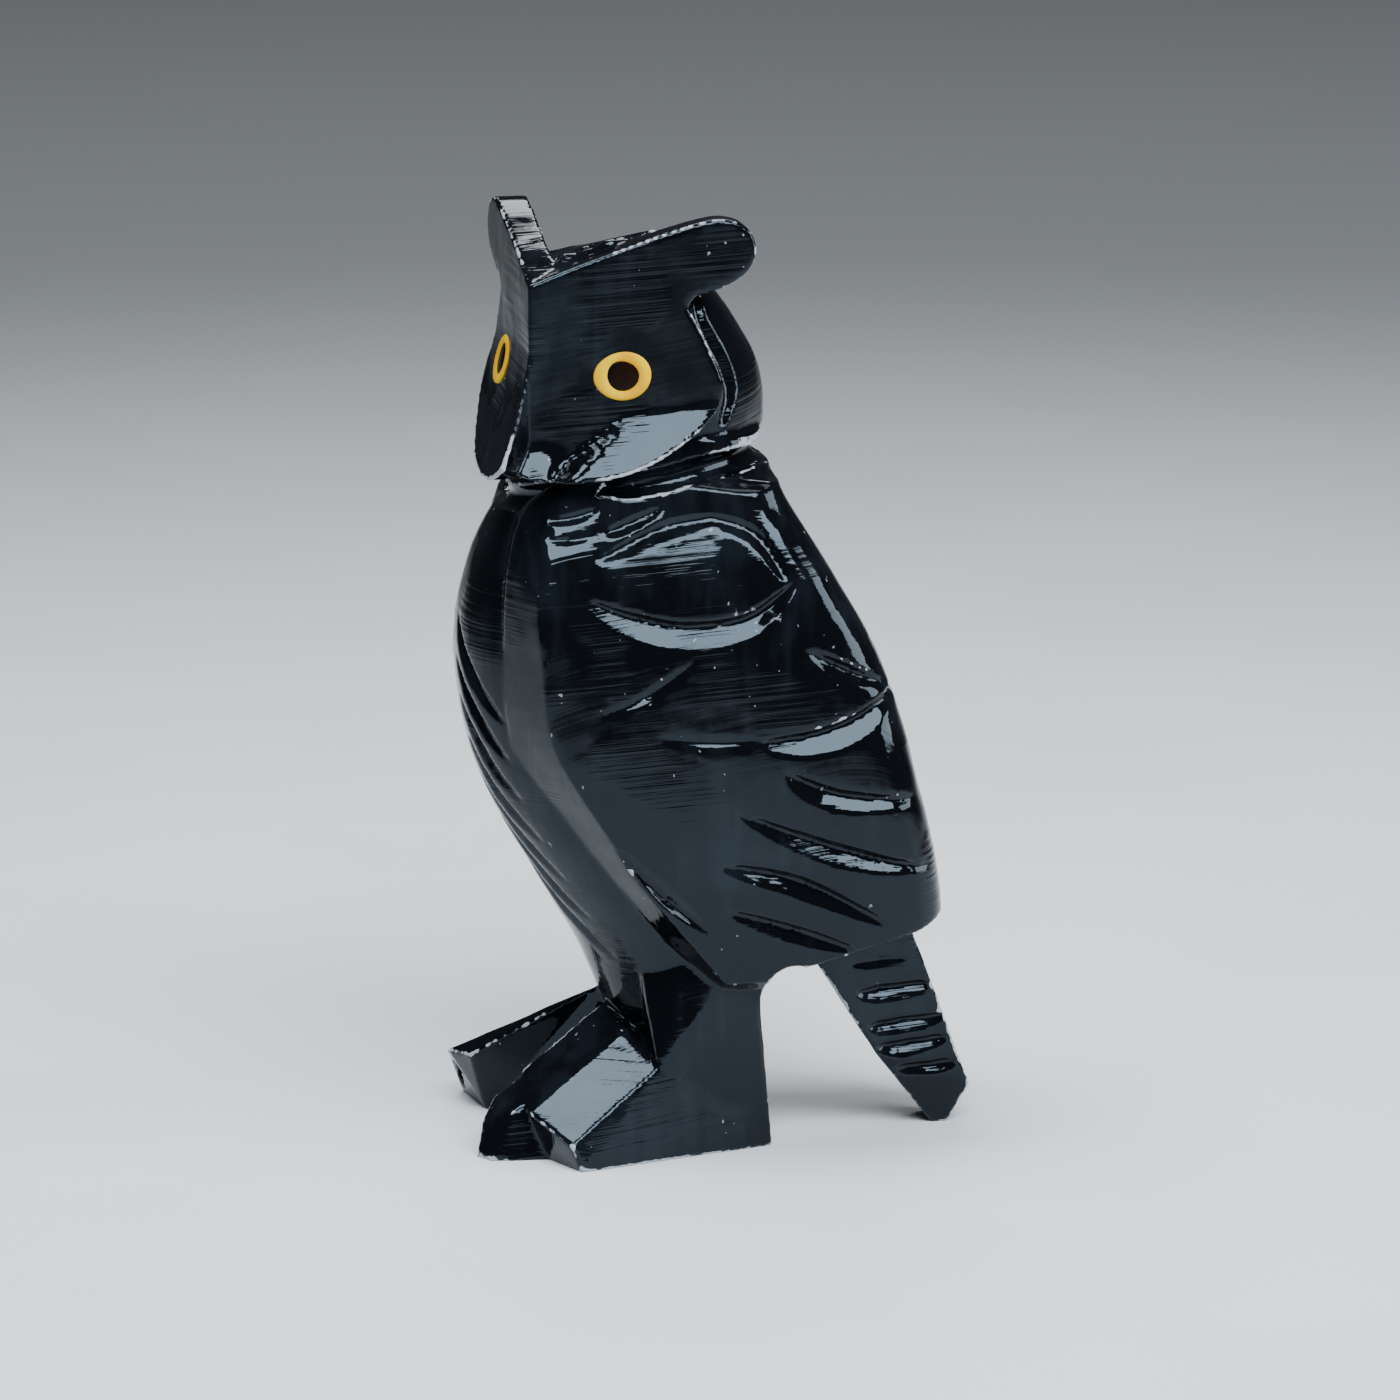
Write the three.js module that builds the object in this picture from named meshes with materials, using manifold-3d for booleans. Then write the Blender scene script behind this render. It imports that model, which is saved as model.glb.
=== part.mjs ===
// A small owl carved from one block of black stone and polished, standing on its two feet and
// the tip of its tail, with its eyes painted on. Millimetres, +Z up. The breast faces -Y and the
// owl's left side is +X; the head is turned towards that side.
//
// The stone is worked as a carver works it: the torso, wings, head, feet and tail are roughed
// out as blocks of one solid, then V-edged wheels cut the feathers, the neck, the toes and the
// notches in the tail. The paint of each eye is a ring and a pupil of its own.
import * as THREE from "three";
import { ConvexGeometry } from "three/addons/geometries/ConvexGeometry.js";
import { mergeVertices } from "three/addons/utils/BufferGeometryUtils.js";
import Module from "manifold-3d";

// ---------------------------------------------------------------- driving dimensions
const BOTH_SIDES = [1, -1]; // the owl's left, then its right

// Torso: where the breast, the back and the flanks stand at each height
const NECK_TOP = 38.0; // where the torso ends; the head's own heights are measured from here
const TORSO = [
  { z: 6.5, front: -5.0, back: 8.0, half: 5.2 },
  { z: 10.5, front: -6.7, back: 11.8, half: 6.7 },
  { z: 14.5, front: -9.0, back: 12.0, half: 7.7 },
  { z: 20.0, front: -11.9, back: 10.8, half: 8.1 },
  { z: 26.0, front: -13.1, back: 9.0, half: 7.75 },
  { z: 31.0, front: -12.3, back: 6.3, half: 7.1 },
  { z: 35.0, front: -10.3, back: 3.9, half: 5.7 },
  { z: NECK_TOP, front: -9.0, back: 3.0, half: 5.0 },
];
const TORSO_SQUARE = { front: 2.4, back: 3.0 }; // 2 makes an ellipse, more is squarer

// Wings: a block that stands proud of the torso, trimmed to the wing's outline seen from the side
const WING_PROUD = 0.8;
const WING_SQUARE = { front: 5.5, back: 6.5 };
const WING_INNER = 5.3; // how far out the slope round the wing starts, where it has this outline
const WING_SLOPE = { deep: 5.0, along: 2.9 };
const WING_OUTLINE = [
  [-6.0, 37.0],
  [-9.6, 35.0],
  [-10.9, 31.0],
  [-11.0, 26.6],
  [-10.6, 22.1],
  [-8.1, 17.5],
  [-4.2, 12.4],
  [0.0, 8.4],
  [9.0, 8.6],
  [17.0, 10.2],
  [17.0, 26.0],
  [6.0, 35.4],
];
const WING_HEM = [[4.6, 10.2], [7.4, 11.1], [10.7, 12.1], [20.0, 17.0], [20.0, 0.0], [4.6, 0.0]];

// Head: two flat facets meet in an upright ridge, and each facet runs out into an ear. All its
// heights start at the top of the neck.
const NECK_AXIS = { x: 0, y: -4.0 };
const HEAD_TURN = 47; // degrees, towards the owl's left
const FACET_ANGLE = 43; // degrees from straight ahead to the way each facet faces
const RIDGE_REACH = 8.4; // from the neck's axis to the ridge
const FACET_THICK = 1.8;
const FACET_CURL = { top: 2.1, reach: 4.0, out: 1.9, tilt: 8 }; // the dished lower part, in degrees
const RIDGE_TOP = 8.5;
const BEAK = -3.5; // how far past the ridge the facets' curl may run
const FACET_OUTLINE = [
  [BEAK, -0.6],
  [-1.6, -0.8],
  [0.4, -1.6],
  [4.8, -1.3],
  [8.4, 0.5],
  [10.1, 2.3],
  [9.3, 5.0],
  [8.2, 7.3],
  [9.4, 8.1],
  [11.3, 8.9],
  [11.9, 10.2],
  [11.3, 11.4],
  [10.2, 11.8],
  [8.4, 11.5],
  [3.8, 9.9],
  [0.0, RIDGE_TOP],
  [BEAK, RIDGE_TOP],
];
// The skull keeps behind the ridge and the facets
const SKULL = [
  { z: -4.5, front: 3.8 - RIDGE_REACH, back: 5.4, half: 4.4 },
  { z: -2.0, front: 2.4 - RIDGE_REACH, back: 7.3, half: 5.8 },
  { z: 0.5, front: 0.8 - RIDGE_REACH, back: 8.1, half: 6.4 },
  { z: 3.5, front: 0.6 - RIDGE_REACH, back: 7.5, half: 6.2 },
  { z: 7.0, front: 0.8 - RIDGE_REACH, back: 5.0, half: 5.0 },
  { z: 8.2, front: 1.0 - RIDGE_REACH, back: 3.6, half: 4.2 },
];
const SKULL_SQUARE = { front: 1.3, back: 2.2 };
// The saddle between the ears, behind the ridge, as [x, y behind the ridge, z]
const CROWN = [
  [0, 1.0, 8.2],
  [0, 3.2, 9.9],
  [0, 7.4, 7.0],
  [2.2, 4.8, 10.6],
  [3.6, 6.4, 11.0],
  [4.4, 5.4, 7.0],
  [-3.6, 6.4, 9.2],
  [-4.4, 5.4, 7.0],
];

// Neck: a groove round the throat, tipped up towards the back. The wheel that cuts it stands out
// of its cut by a share of the neck.
const NECK_GROOVE = { z: -2.3, y: -3.4, tilt: 10, halfX: 5.7, halfY: 6.6, deep: 0.4, half: 0.7 };
const NECK_WHEEL_REACH = 0.25;

// Eyes: a ring of paint with a dot of paint in its hole, each a thin film on the facet
const EYE_HEIGHT = 3.7;
const EYE_FROM_RIDGE = { left: 4.85, right: 6.4 }; // painted by eye, so not quite alike
const RING = { wide: 1.5, high: 1.33 };
const RING_HOLE = { wide: 0.82, high: 0.81 };
const PAINT_THICK = 0.16;
const PAINT_GAP = 0.02; // between the paint and what it lies on or in

// Feet: soles' corners as [x, y] and tops' as [x, y, z]. The left foot's two toes are apart; the
// right foot is one block, turned out, with a cut between its toes.
const HEEL = [4.8, 3.2];
const HEEL_INSIDE = [0.7, 3.2];
const HEEL_TOP = 2.6;
const INSTEPS = [[6.9, -2.9, 4.95], [6.5, -1.6, 4.5]];
const ANKLE = [4.5, -4.7, 6.4];
const ANKLE_INSIDE = [1.6, -5.4, 7.4];
const OUTER_TOE = {
  sole: [[8.85, -7.4], [6.2, -8.8], [1.6, -8.8], [0.7, -4.0]],
  top: [[8.85, -7.9, 1.75], [6.2, -9.9, 2.7], [6.0, -8.4, 4.3], [8.8, -7.2, 2.25], [2.6, -9.6, 4.3]],
};
const INNER_TOE = {
  sole: [[6.1, -8.0], [6.0, -11.9], [4.9, -12.6], [2.2, -11.6], [1.6, -7.0]],
  top: [[2.8, -11.4, 2.7], [4.4, -12.2, 1.9], [5.5, -10.7, 2.5], [4.8, -8.4, 3.6], [2.3, -8.0, 5.0]],
};
const RIGHT_TOES = {
  sole: [[-8.9, -7.2], [-9.6, -11.2], [-8.6, -11.9], [-4.6, -11.0], [-0.7, -4.0]],
  top: [[-8.6, -7.0, 3.0], [-8.2, -12.7, 2.3], [-5.4, -13.0, 3.2], [-3.4, -12.0, 3.4]],
};
const LEG_TOP = { z: 11.0, back: 1.8, front: -4.0, half: 6.2 };
const VALLEY = { half: 1.8, deep: 6.4, back: -3.5 }; // the V between the feet, open to the front
const TOE_CUT = { toe: [-7.9, -12.2, 1.0], heel: [-5.6, -8.6, 4.6], deep: 1.1, wide: 1.0 };

// Tail: a tapering slab that leans back down to the ground, seen from the side as [y, z]
const TAIL_ROOT = { front: [3.9, 12.4], back: [10.2, 13.0], half: 3.9 };
const TAIL_KNEE = { front: [9.1, 4.2], half: 2.7 };
const TAIL_TIP = { front: [12.3, 0.0], back: [13.2, 0.0], corner: [14.3, 2.2], half: 1.3 };
const TAIL_BEVEL = 0.8;
const TAIL_NOTCHES = 5;
const TAIL_NOTCH = { lowest: 3.4, pitch: 1.7, inset: 1.7, radius: 2.2, half: 3.4, deep: 1.0 };

// The arch under the body between the legs and the tail, seen from the side as [y, z]
const ARCH_TOP = 10.3;
const ARCH = [
  [HEEL[1], -1.0],
  [HEEL[1], 0.0],
  [2.4, 8.6],
  [3.0, 9.9],
  [4.1, ARCH_TOP],
  [5.2, 9.8],
  [6.1, 8.8],
  TAIL_KNEE.front,
  TAIL_TIP.front,
  [TAIL_TIP.front[0], -1.0],
];

// Feathers on each wing, seen from the side: where a cut starts and ends as [y, z], how far its
// middle bows up, its greatest depth and its half width there
const WING_CUTS = [
  { from: [-6.4, 32.0], to: [1.4, 34.2], bow: 0.7, deep: 0.5, wide: 0.7 },
  { from: [0.4, 34.6], to: [3.6, 30.4], bow: 0.5, deep: 0.5, wide: 0.7 },
  { from: [-6.8, 30.2], to: [4.2, 30.8], bow: -2.3, deep: 0.7, wide: 0.9 },
  { from: [-6.8, 24.2], to: [-1.0, 27.3], bow: -0.2, deep: 0.3, wide: 0.3 },
  { from: [4.4, 27.3], to: [8.8, 25.3], bow: 0.1, deep: 0.4, wide: 0.4 },
  { from: [-3.1, 23.3], to: [8.9, 25.0], bow: -1.2, deep: 0.6, wide: 0.6 },
  { from: [3.2, 21.1], to: [10.6, 19.3], bow: -0.4, deep: 0.5, wide: 0.5 },
  { from: [0.5, 19.2], to: [11.2, 15.5], bow: -0.3, deep: 0.55, wide: 0.55 },
  { from: [-0.4, 16.4], to: [9.4, 12.3], bow: 0.4, deep: 0.55, wide: 0.6 },
  { from: [-0.2, 13.9], to: [7.8, 11.1], bow: 0.1, deep: 0.5, wide: 0.5 },
];

// Down on the breast: slanting cuts that run from the middle down to the wing on each side
const BREAST_CUTS = 7;
const BREAST_CUT = { inner: 0.5, outer: 5.0, top: 27.6, pitch: 2.0, drop: 5.0, deep: 0.4, wide: 0.5 };

// How finely curved faces are cut into flats
const EYE_SIDES = 10; // for each quarter of an eye
const SIDES = 44;
const RINGS = 20;
const CUT_STEPS = 10;
const CURL_STEPS = 8;
const CURL_POWER = 1.2; // 1 would dish the facets with one flat slope

// ---------------------------------------------------------------- solids
const wasm = await Module();
wasm.setup();

const finish = (color, roughness) =>
  new THREE.MeshStandardMaterial({ color, roughness, metalness: 0 });
const stone = finish(0x0b0c0e, 0.08);
const yellowPaint = finish(0xf0b40a, 0.35);
const darkPaint = finish(0x140a06, 0.3);

// Matrices that stand a flat outline up: its own X, Y and thickness become these
const ALONG_YZ = new THREE.Matrix4().set(0, 0, 1, 0, 1, 0, 0, 0, 0, 1, 0, 0, 0, 0, 0, 1);
const ALONG_XZ = new THREE.Matrix4().set(1, 0, 0, 0, 0, 0, -1, 0, 0, 1, 0, 0, 0, 0, 0, 1);

const mirror = (side) => new THREE.Matrix4().makeScale(side, 1, 1);
const moved = (x, y, z) => new THREE.Matrix4().makeTranslation(x, y, z);
const turned = (degrees) => new THREE.Matrix4().makeRotationZ(THREE.MathUtils.degToRad(degrees));
const outline = (points) => new THREE.Shape(points.map(([x, y]) => new THREE.Vector2(x, y)));
const join = (parts) => parts.reduce((whole, part) => whole.add(part));
const cut = (whole, cutters) => cutters.reduce((left, cutter) => left.subtract(cutter), whole);
const signedPower = (base, exponent) => Math.sign(base) * Math.abs(base) ** exponent;

/** A geometry as a solid, after an optional matrix, with its faces kept outwards. */
function solid(geometry, matrix = new THREE.Matrix4()) {
  const bare = new THREE.BufferGeometry();
  bare.setAttribute("position", geometry.getAttribute("position").clone());
  if (geometry.index) bare.setIndex(geometry.index.clone());
  bare.applyMatrix4(matrix);
  const merged = mergeVertices(bare, 1e-4);
  const corners = Array.from(merged.index.array);
  const mirrored = matrix.determinant() < 0;
  const triVerts = [];
  for (let i = 0; i < corners.length; i += 3) {
    const [a, b, c] = corners.slice(i, i + 3);
    if (a !== b && b !== c && c !== a) triVerts.push(...(mirrored ? [a, c, b] : [a, b, c]));
  }
  return new wasm.Manifold(
    new wasm.Mesh({
      numProp: 3,
      vertProperties: merged.attributes.position.array,
      triVerts: new Uint32Array(triVerts),
    }),
  );
}

/** A solid as a named mesh. */
function mesh(name, body, material) {
  const { vertProperties, triVerts } = body.getMesh();
  const geometry = new THREE.BufferGeometry();
  geometry.setAttribute("position", new THREE.BufferAttribute(vertProperties, 3));
  geometry.setIndex(new THREE.BufferAttribute(triVerts, 1));
  geometry.computeVertexNormals();
  const made = new THREE.Mesh(geometry, material);
  made.name = name;
  return made;
}

/** A closed skin through level sections, each given by its front, back and half width. */
function loft(stations, square, proud = 0) {
  const line = (key) =>
    new THREE.SplineCurve(stations.map((station) => new THREE.Vector2(station[key], station.z)));
  const [fronts, backs, halves] = [line("front"), line("back"), line("half")];
  const points = [];
  const index = [];
  for (let ring = 0; ring <= RINGS; ring++) {
    const { x: front, y: z } = fronts.getPoint(ring / RINGS);
    const back = backs.getPoint(ring / RINGS).x;
    const half = halves.getPoint(ring / RINGS).x + proud;
    for (let side = 0; side < SIDES; side++) {
      const turn = (2 * Math.PI * (side + 0.5)) / SIDES;
      const exponent = 2 / (Math.sin(turn) < 0 ? square.front : square.back);
      const x = half * signedPower(Math.cos(turn), exponent);
      const y = (front + back + (back - front) * signedPower(Math.sin(turn), exponent)) / 2;
      points.push(x, y, z);
    }
  }
  for (let ring = 0; ring < RINGS; ring++) {
    for (let side = 0; side < SIDES; side++) {
      const here = ring * SIDES + side;
      const next = ring * SIDES + ((side + 1) % SIDES);
      index.push(here, next, next + SIDES, here, next + SIDES, here + SIDES);
    }
  }
  const top = RINGS * SIDES;
  for (let side = 1; side < SIDES - 1; side++) {
    index.push(0, side + 1, side, top, top + side, top + side + 1);
  }
  const geometry = new THREE.BufferGeometry();
  geometry.setAttribute("position", new THREE.Float32BufferAttribute(points, 3));
  geometry.setIndex(index);
  return geometry;
}

/** A prism across the owl with an outline given as [y, z], between two places along X. */
function prism(points, from, to) {
  const geometry = new THREE.ExtrudeGeometry(outline(points), {
    depth: to - from,
    bevelEnabled: false,
  });
  return solid(geometry, moved(from, 0, 0).multiply(ALONG_YZ));
}

/** The block that holds everything to one side of X = 0. */
function halfSpace(side) {
  const reach = 60;
  const box = new THREE.BoxGeometry(reach, 2 * reach, 4 * reach);
  return solid(box, moved((side * reach) / 2, 0, 0));
}

/**
 * A V-edged tool drawn over a skin. It touches the skin at `from`, is deepest halfway and leaves
 * it at `to`; `look` throws a ray at the skin for a flat place of the outline the cut is drawn on.
 */
function skinCut(skin, look, { from, to, bow = 0, deep, wide }, matrix) {
  const OVERSIZE = 1.6; // the tool is bigger than the cut, so it runs out above the skin
  const start = new THREE.Vector2(...from);
  const run = new THREE.Vector2(...to).sub(start);
  const aside = new THREE.Vector2(-run.y, run.x).normalize().multiplyScalar(bow);
  const points = [];
  for (let i = 0; i <= 4; i++) {
    const arch = i * (4 - i) * 0.25;
    const place = start.clone().addScaledVector(run, i / 4).addScaledVector(aside, arch);
    const hit = look(place).intersectObject(new THREE.Mesh(skin))[0];
    if (hit) {
      const lift = OVERSIZE * deep - deep * arch;
      points.push(hit.point.clone().addScaledVector(hit.face.normal, lift));
    }
  }
  const tool = outline([
    [OVERSIZE * deep, 0],
    [0, OVERSIZE * wide],
    [-OVERSIZE * deep, 0],
    [0, -OVERSIZE * wide],
  ]);
  const path = new THREE.CatmullRomCurve3(points);
  const geometry = new THREE.ExtrudeGeometry(tool, { steps: CUT_STEPS, extrudePath: path });
  return solid(geometry, matrix);
}

// ---------------------------------------------------------------- torso, wings and feathers
const torsoSkin = loft(TORSO, TORSO_SQUARE);
const wingSkin = loft(TORSO, WING_SQUARE, WING_PROUD);
const FAR = 40;

const fromTheSide = ({ x: y, y: z }) =>
  new THREE.Raycaster(new THREE.Vector3(FAR, y, z), new THREE.Vector3(-1, 0, 0));
const fromTheFront = ({ x, y: z }) =>
  new THREE.Raycaster(new THREE.Vector3(x, -FAR, z), new THREE.Vector3(0, 1, 0));

function wingBlock(side) {
  const geometry = new THREE.ExtrudeGeometry(outline(WING_OUTLINE), {
    depth: WING_INNER,
    bevelThickness: WING_SLOPE.deep,
    bevelSize: WING_SLOPE.along,
    bevelOffset: -WING_SLOPE.along,
    bevelSegments: 1,
  });
  return solid(geometry, mirror(side).multiply(ALONG_YZ)).intersect(halfSpace(side));
}

const wings = () => solid(wingSkin).intersect(join(BOTH_SIDES.map(wingBlock)));

const wingCuts = (side) =>
  WING_CUTS.map((feather) => skinCut(wingSkin, fromTheSide, feather, mirror(side)));

function breastCuts(side) {
  const { inner, outer, top, pitch, drop, deep, wide } = BREAST_CUT;
  return Array.from({ length: BREAST_CUTS }, (_, row) => {
    const z = top - row * pitch;
    const feather = { from: [inner, z], to: [outer, z - drop], deep, wide };
    return skinCut(torsoSkin, fromTheFront, feather, mirror(side));
  });
}

function neckGroove() {
  const { z, y, tilt, halfX, halfY, deep, half } = NECK_GROOVE;
  const inner = 1 - (2 * deep) / (halfX + halfY);
  const profile = [
    [inner, 0],
    [inner + NECK_WHEEL_REACH, -half],
    [inner + NECK_WHEEL_REACH, half],
    [inner, 0],
  ].map(([r, h]) => new THREE.Vector2(r, h));
  const ring = new THREE.LatheGeometry(profile, SIDES);
  const place = moved(0, y, NECK_TOP + z)
    .multiply(new THREE.Matrix4().makeRotationX(THREE.MathUtils.degToRad(tilt)))
    .multiply(new THREE.Matrix4().makeScale(halfX, halfY, 1))
    .multiply(new THREE.Matrix4().makeRotationX(Math.PI / 2));
  return solid(ring, place);
}

// ---------------------------------------------------------------- head and eyes
/** The head's own frame: turned on the neck, with its heights from the neck's top. */
const headPlace = () => moved(NECK_AXIS.x, NECK_AXIS.y, NECK_TOP).multiply(turned(HEAD_TURN));

/** A facet's own frame on the unturned head: X along it from the ridge, Y into it, Z up. */
const facetPlace = (side) =>
  moved(0, -RIDGE_REACH, 0).multiply(mirror(side)).multiply(turned(FACET_ANGLE));

/** The facets' dished front in a facet's own frame, as a block that starts `lift` out from it. */
function dish(lift) {
  const { top, reach, out, tilt } = FACET_CURL;
  const across = 2 * RIDGE_REACH;
  const curl = Array.from({ length: CURL_STEPS + 1 }, (_, i) => {
    const t = i / CURL_STEPS;
    return [-out * t ** CURL_POWER, -reach * t];
  });
  const back = [[FACET_THICK, across], [FACET_THICK, -across]];
  const block = prism([...back, [-out, -across], ...curl.reverse(), [0, across]], -across, across);
  const tilted = new THREE.Matrix4().makeRotationY(-THREE.MathUtils.degToRad(tilt));
  return placed(block, moved(0, -lift, top).multiply(tilted));
}

function facet(side) {
  const plate = new THREE.ExtrudeGeometry(outline(FACET_OUTLINE), {
    depth: FACET_THICK + FACET_CURL.out,
    bevelEnabled: false,
  });
  const standing = solid(plate, moved(0, FACET_THICK, 0).multiply(ALONG_XZ));
  return placed(standing.intersect(dish(0)), facetPlace(side)).intersect(halfSpace(side));
}

/** A solid after a matrix. */
function placed(body, matrix) {
  const { vertProperties, triVerts } = body.getMesh();
  const geometry = new THREE.BufferGeometry();
  geometry.setAttribute("position", new THREE.BufferAttribute(vertProperties, 3));
  geometry.setIndex(new THREE.BufferAttribute(triVerts, 1));
  return solid(geometry, matrix);
}

function head() {
  const skull = solid(loft(SKULL, SKULL_SQUARE));
  const crown = hull(CROWN.map(([x, y, z]) => [x, y - RIDGE_REACH, z]));
  return placed(join([skull, crown, ...BOTH_SIDES.map(facet)]), headPlace());
}

/** A film of paint that lies on a facet, out to one oval and round a hole if one is given. */
function paint(name, side, rim, hole, material) {
  const shape = new THREE.Shape().absellipse(0, 0, rim.wide, rim.high, 0, 2 * Math.PI);
  if (hole) {
    shape.holes.push(new THREE.Path().absellipse(0, 0, hole.wide, hole.high, 0, 2 * Math.PI, true));
  }
  const reach = 2 * FACET_CURL.out;
  const column = new THREE.ExtrudeGeometry(shape, {
    depth: 2 * reach,
    curveSegments: EYE_SIDES,
    bevelEnabled: false,
  });
  const along = EYE_FROM_RIDGE[side > 0 ? "left" : "right"];
  const standing = solid(column, moved(along, reach, EYE_HEIGHT).multiply(ALONG_XZ));
  const film = standing.intersect(dish(PAINT_GAP + PAINT_THICK)).subtract(dish(PAINT_GAP));
  return mesh(name, placed(film, headPlace().multiply(facetPlace(side))), material);
}

function eye(side, which) {
  const dot = { wide: RING_HOLE.wide - PAINT_GAP, high: RING_HOLE.high - PAINT_GAP };
  return [
    paint(`eye_ring_${which}`, side, RING, RING_HOLE, yellowPaint),
    paint(`pupil_${which}`, side, dot, null, darkPaint),
  ];
}

// ---------------------------------------------------------------- legs, feet and tail
const hull = (points, matrix) =>
  solid(new ConvexGeometry(points.map((point) => new THREE.Vector3(...point))), matrix);

function foot(side) {
  const { z, back, front, half } = LEG_TOP;
  const onSide = ([x, ...rest]) => [side * x, ...rest];
  const onGround = (at) => [...at, 0];
  const heel = [[...HEEL, HEEL_TOP], ...INSTEPS].map(onSide);
  const ankle = [ANKLE, ANKLE_INSIDE].map(onSide);
  const ground = [HEEL, HEEL_INSIDE].map(onSide).map(onGround);
  const legTop = [[half, back, z], [half, front, z], [0, front, z], [0, back, z]].map(onSide);
  const legFoot = [[0, HEEL[1], 0], [0, front, 0], [...HEEL, 0]].map(onSide);
  const leg = hull([...legTop, ...legFoot, ...heel, ...ankle]);
  const toes = side > 0 ? OUTER_TOE : RIGHT_TOES;
  const toeBlock = hull([...ground, ...heel, ...ankle, ...toes.sole.map(onGround), ...toes.top]);
  return leg.add(toeBlock);
}

const innerToe = () => hull([...INNER_TOE.sole.map((at) => [...at, 0]), ...INNER_TOE.top]);

/** The V cut that parts the right foot's toes. */
function toeCut() {
  const { toe, heel, deep, wide } = TOE_CUT;
  const run = new THREE.Vector2(toe[0] - heel[0], toe[1] - heel[1]).normalize();
  const ends = [toe, heel].flatMap(([x, y, z]) => [
    [x + run.y * wide, y - run.x * wide, z + deep],
    [x - run.y * wide, y + run.x * wide, z + deep],
    [x, y, z - deep],
  ]);
  return hull(ends);
}

function valley() {
  const { half, deep, back } = VALLEY;
  const front = -20;
  const wedge = [front, back].flatMap((y) => [[-half, y, -1], [half, y, -1], [0, y, deep]]);
  return hull(wedge);
}

const TAIL_ENDS = [
  [TAIL_ROOT.front, TAIL_ROOT.half],
  [TAIL_ROOT.back, TAIL_ROOT.half - TAIL_BEVEL],
  [TAIL_KNEE.front, TAIL_KNEE.half],
  [TAIL_TIP.front, TAIL_TIP.half],
  [TAIL_TIP.back, TAIL_TIP.half],
  [TAIL_TIP.corner, TAIL_KNEE.half - TAIL_BEVEL],
];

const tail = () =>
  hull(TAIL_ENDS.flatMap(([[y, z], half]) => BOTH_SIDES.map((side) => [side * half, y, z])));

/** Notches up each side of the tail, cut across it with the edge of a thin wheel. */
function tailCuts(side) {
  const { lowest, pitch, inset, radius, half, deep } = TAIL_NOTCH;
  const { front: tip } = TAIL_TIP;
  const { half: tipHalf } = TAIL_KNEE;
  const { front: root, half: rootHalf } = TAIL_ROOT;
  return Array.from({ length: TAIL_NOTCHES }, (_, notch) => {
    const z = lowest + notch * pitch;
    const share = (z - tip[1]) / (root[1] - tip[1]);
    const y = tip[0] + (root[0] - tip[0]) * share + inset;
    const x = side * (tipHalf + (rootHalf - tipHalf) * share + radius - deep);
    const wheel = new THREE.ConeGeometry(radius, half, SIDES).rotateX(Math.PI);
    return solid(wheel, moved(x, y, z - half / 2));
  });
}

// ---------------------------------------------------------------- assembly
function stoneBody() {
  const body = join([solid(torsoSkin), wings()]).subtract(prism(WING_HEM, -FAR, FAR));
  const blocks = join([body, head(), tail(), ...BOTH_SIDES.map(foot), innerToe()]);
  const arch = prism(ARCH, -FAR, FAR);
  const feathers = BOTH_SIDES.flatMap((side) => [...wingCuts(side), ...breastCuts(side)]);
  const notches = BOTH_SIDES.flatMap(tailCuts);
  return cut(blocks, [arch, valley(), toeCut(), neckGroove(), ...feathers, ...notches]);
}

const owl = new THREE.Group();
owl.add(mesh("stone_body", stoneBody(), stone), ...eye(1, "left"), ...eye(-1, "right"));

// The origin is under the middle of the owl, on the surface it stands on
const box = new THREE.Box3().setFromObject(owl);
const middle = box.getCenter(new THREE.Vector3());
owl.position.set(-middle.x, -middle.y, -box.min.z);

export default owl;
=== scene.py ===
"""A small owl carved from black stone, polished to a wet gloss and given painted eyes.

The stone is worked as a carver works it. Blocks are roughed out for the torso, wings, head,
tail and feet and joined into one solid, grinding wheels cut the neck, feathers, toes and tail,
and the whole carving is polished, which rounds every edge a little. Each eye is then brushed on
as a ring and a pupil of enamel. The bench works in millimetres round the owl's own upright
axis; a finished piece is brought to metres and to the frame's place.
"""

import logging
import math
from contextlib import contextmanager
from dataclasses import dataclass, field
from enum import Enum
from typing import Callable, Iterator, Sequence

import bmesh
import bpy
import numpy as np
from mathutils import Matrix, Vector


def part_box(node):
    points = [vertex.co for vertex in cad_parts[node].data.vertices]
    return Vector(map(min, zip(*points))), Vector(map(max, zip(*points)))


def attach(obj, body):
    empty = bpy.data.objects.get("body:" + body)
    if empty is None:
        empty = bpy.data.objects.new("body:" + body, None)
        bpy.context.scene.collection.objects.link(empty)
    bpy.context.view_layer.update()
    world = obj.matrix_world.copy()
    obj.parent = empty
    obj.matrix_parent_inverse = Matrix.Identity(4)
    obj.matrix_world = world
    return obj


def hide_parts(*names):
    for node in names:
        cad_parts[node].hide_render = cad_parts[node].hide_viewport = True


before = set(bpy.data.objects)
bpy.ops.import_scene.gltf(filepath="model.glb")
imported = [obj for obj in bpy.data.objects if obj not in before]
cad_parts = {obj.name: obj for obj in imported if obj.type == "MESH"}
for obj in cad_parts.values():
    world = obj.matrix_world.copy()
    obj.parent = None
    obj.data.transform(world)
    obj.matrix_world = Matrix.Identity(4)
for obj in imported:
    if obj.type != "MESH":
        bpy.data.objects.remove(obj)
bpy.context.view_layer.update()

LOG = logging.getLogger("owl")
MM = 0.001
# In mm: a place well outside the owl, and how far joined blocks overlap.
FAR = 40.0
LAP = 0.01
Point2 = tuple[float, float]
Point3 = tuple[float, float, float]
Ring = list[Vector]


class Side(Enum):
    """The owl's own left and right, as the sign of X."""

    LEFT = 1
    RIGHT = -1


class Join(Enum):
    """The ways in which one solid works on another."""

    ADD = "UNION"
    CUT = "DIFFERENCE"
    KEEP_COMMON = "INTERSECT"


class Slot(Enum):
    """The record's material slots."""

    STONE = "black_stone"
    RING = "yellow_paint"
    PUPIL = "dark_paint"


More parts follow.
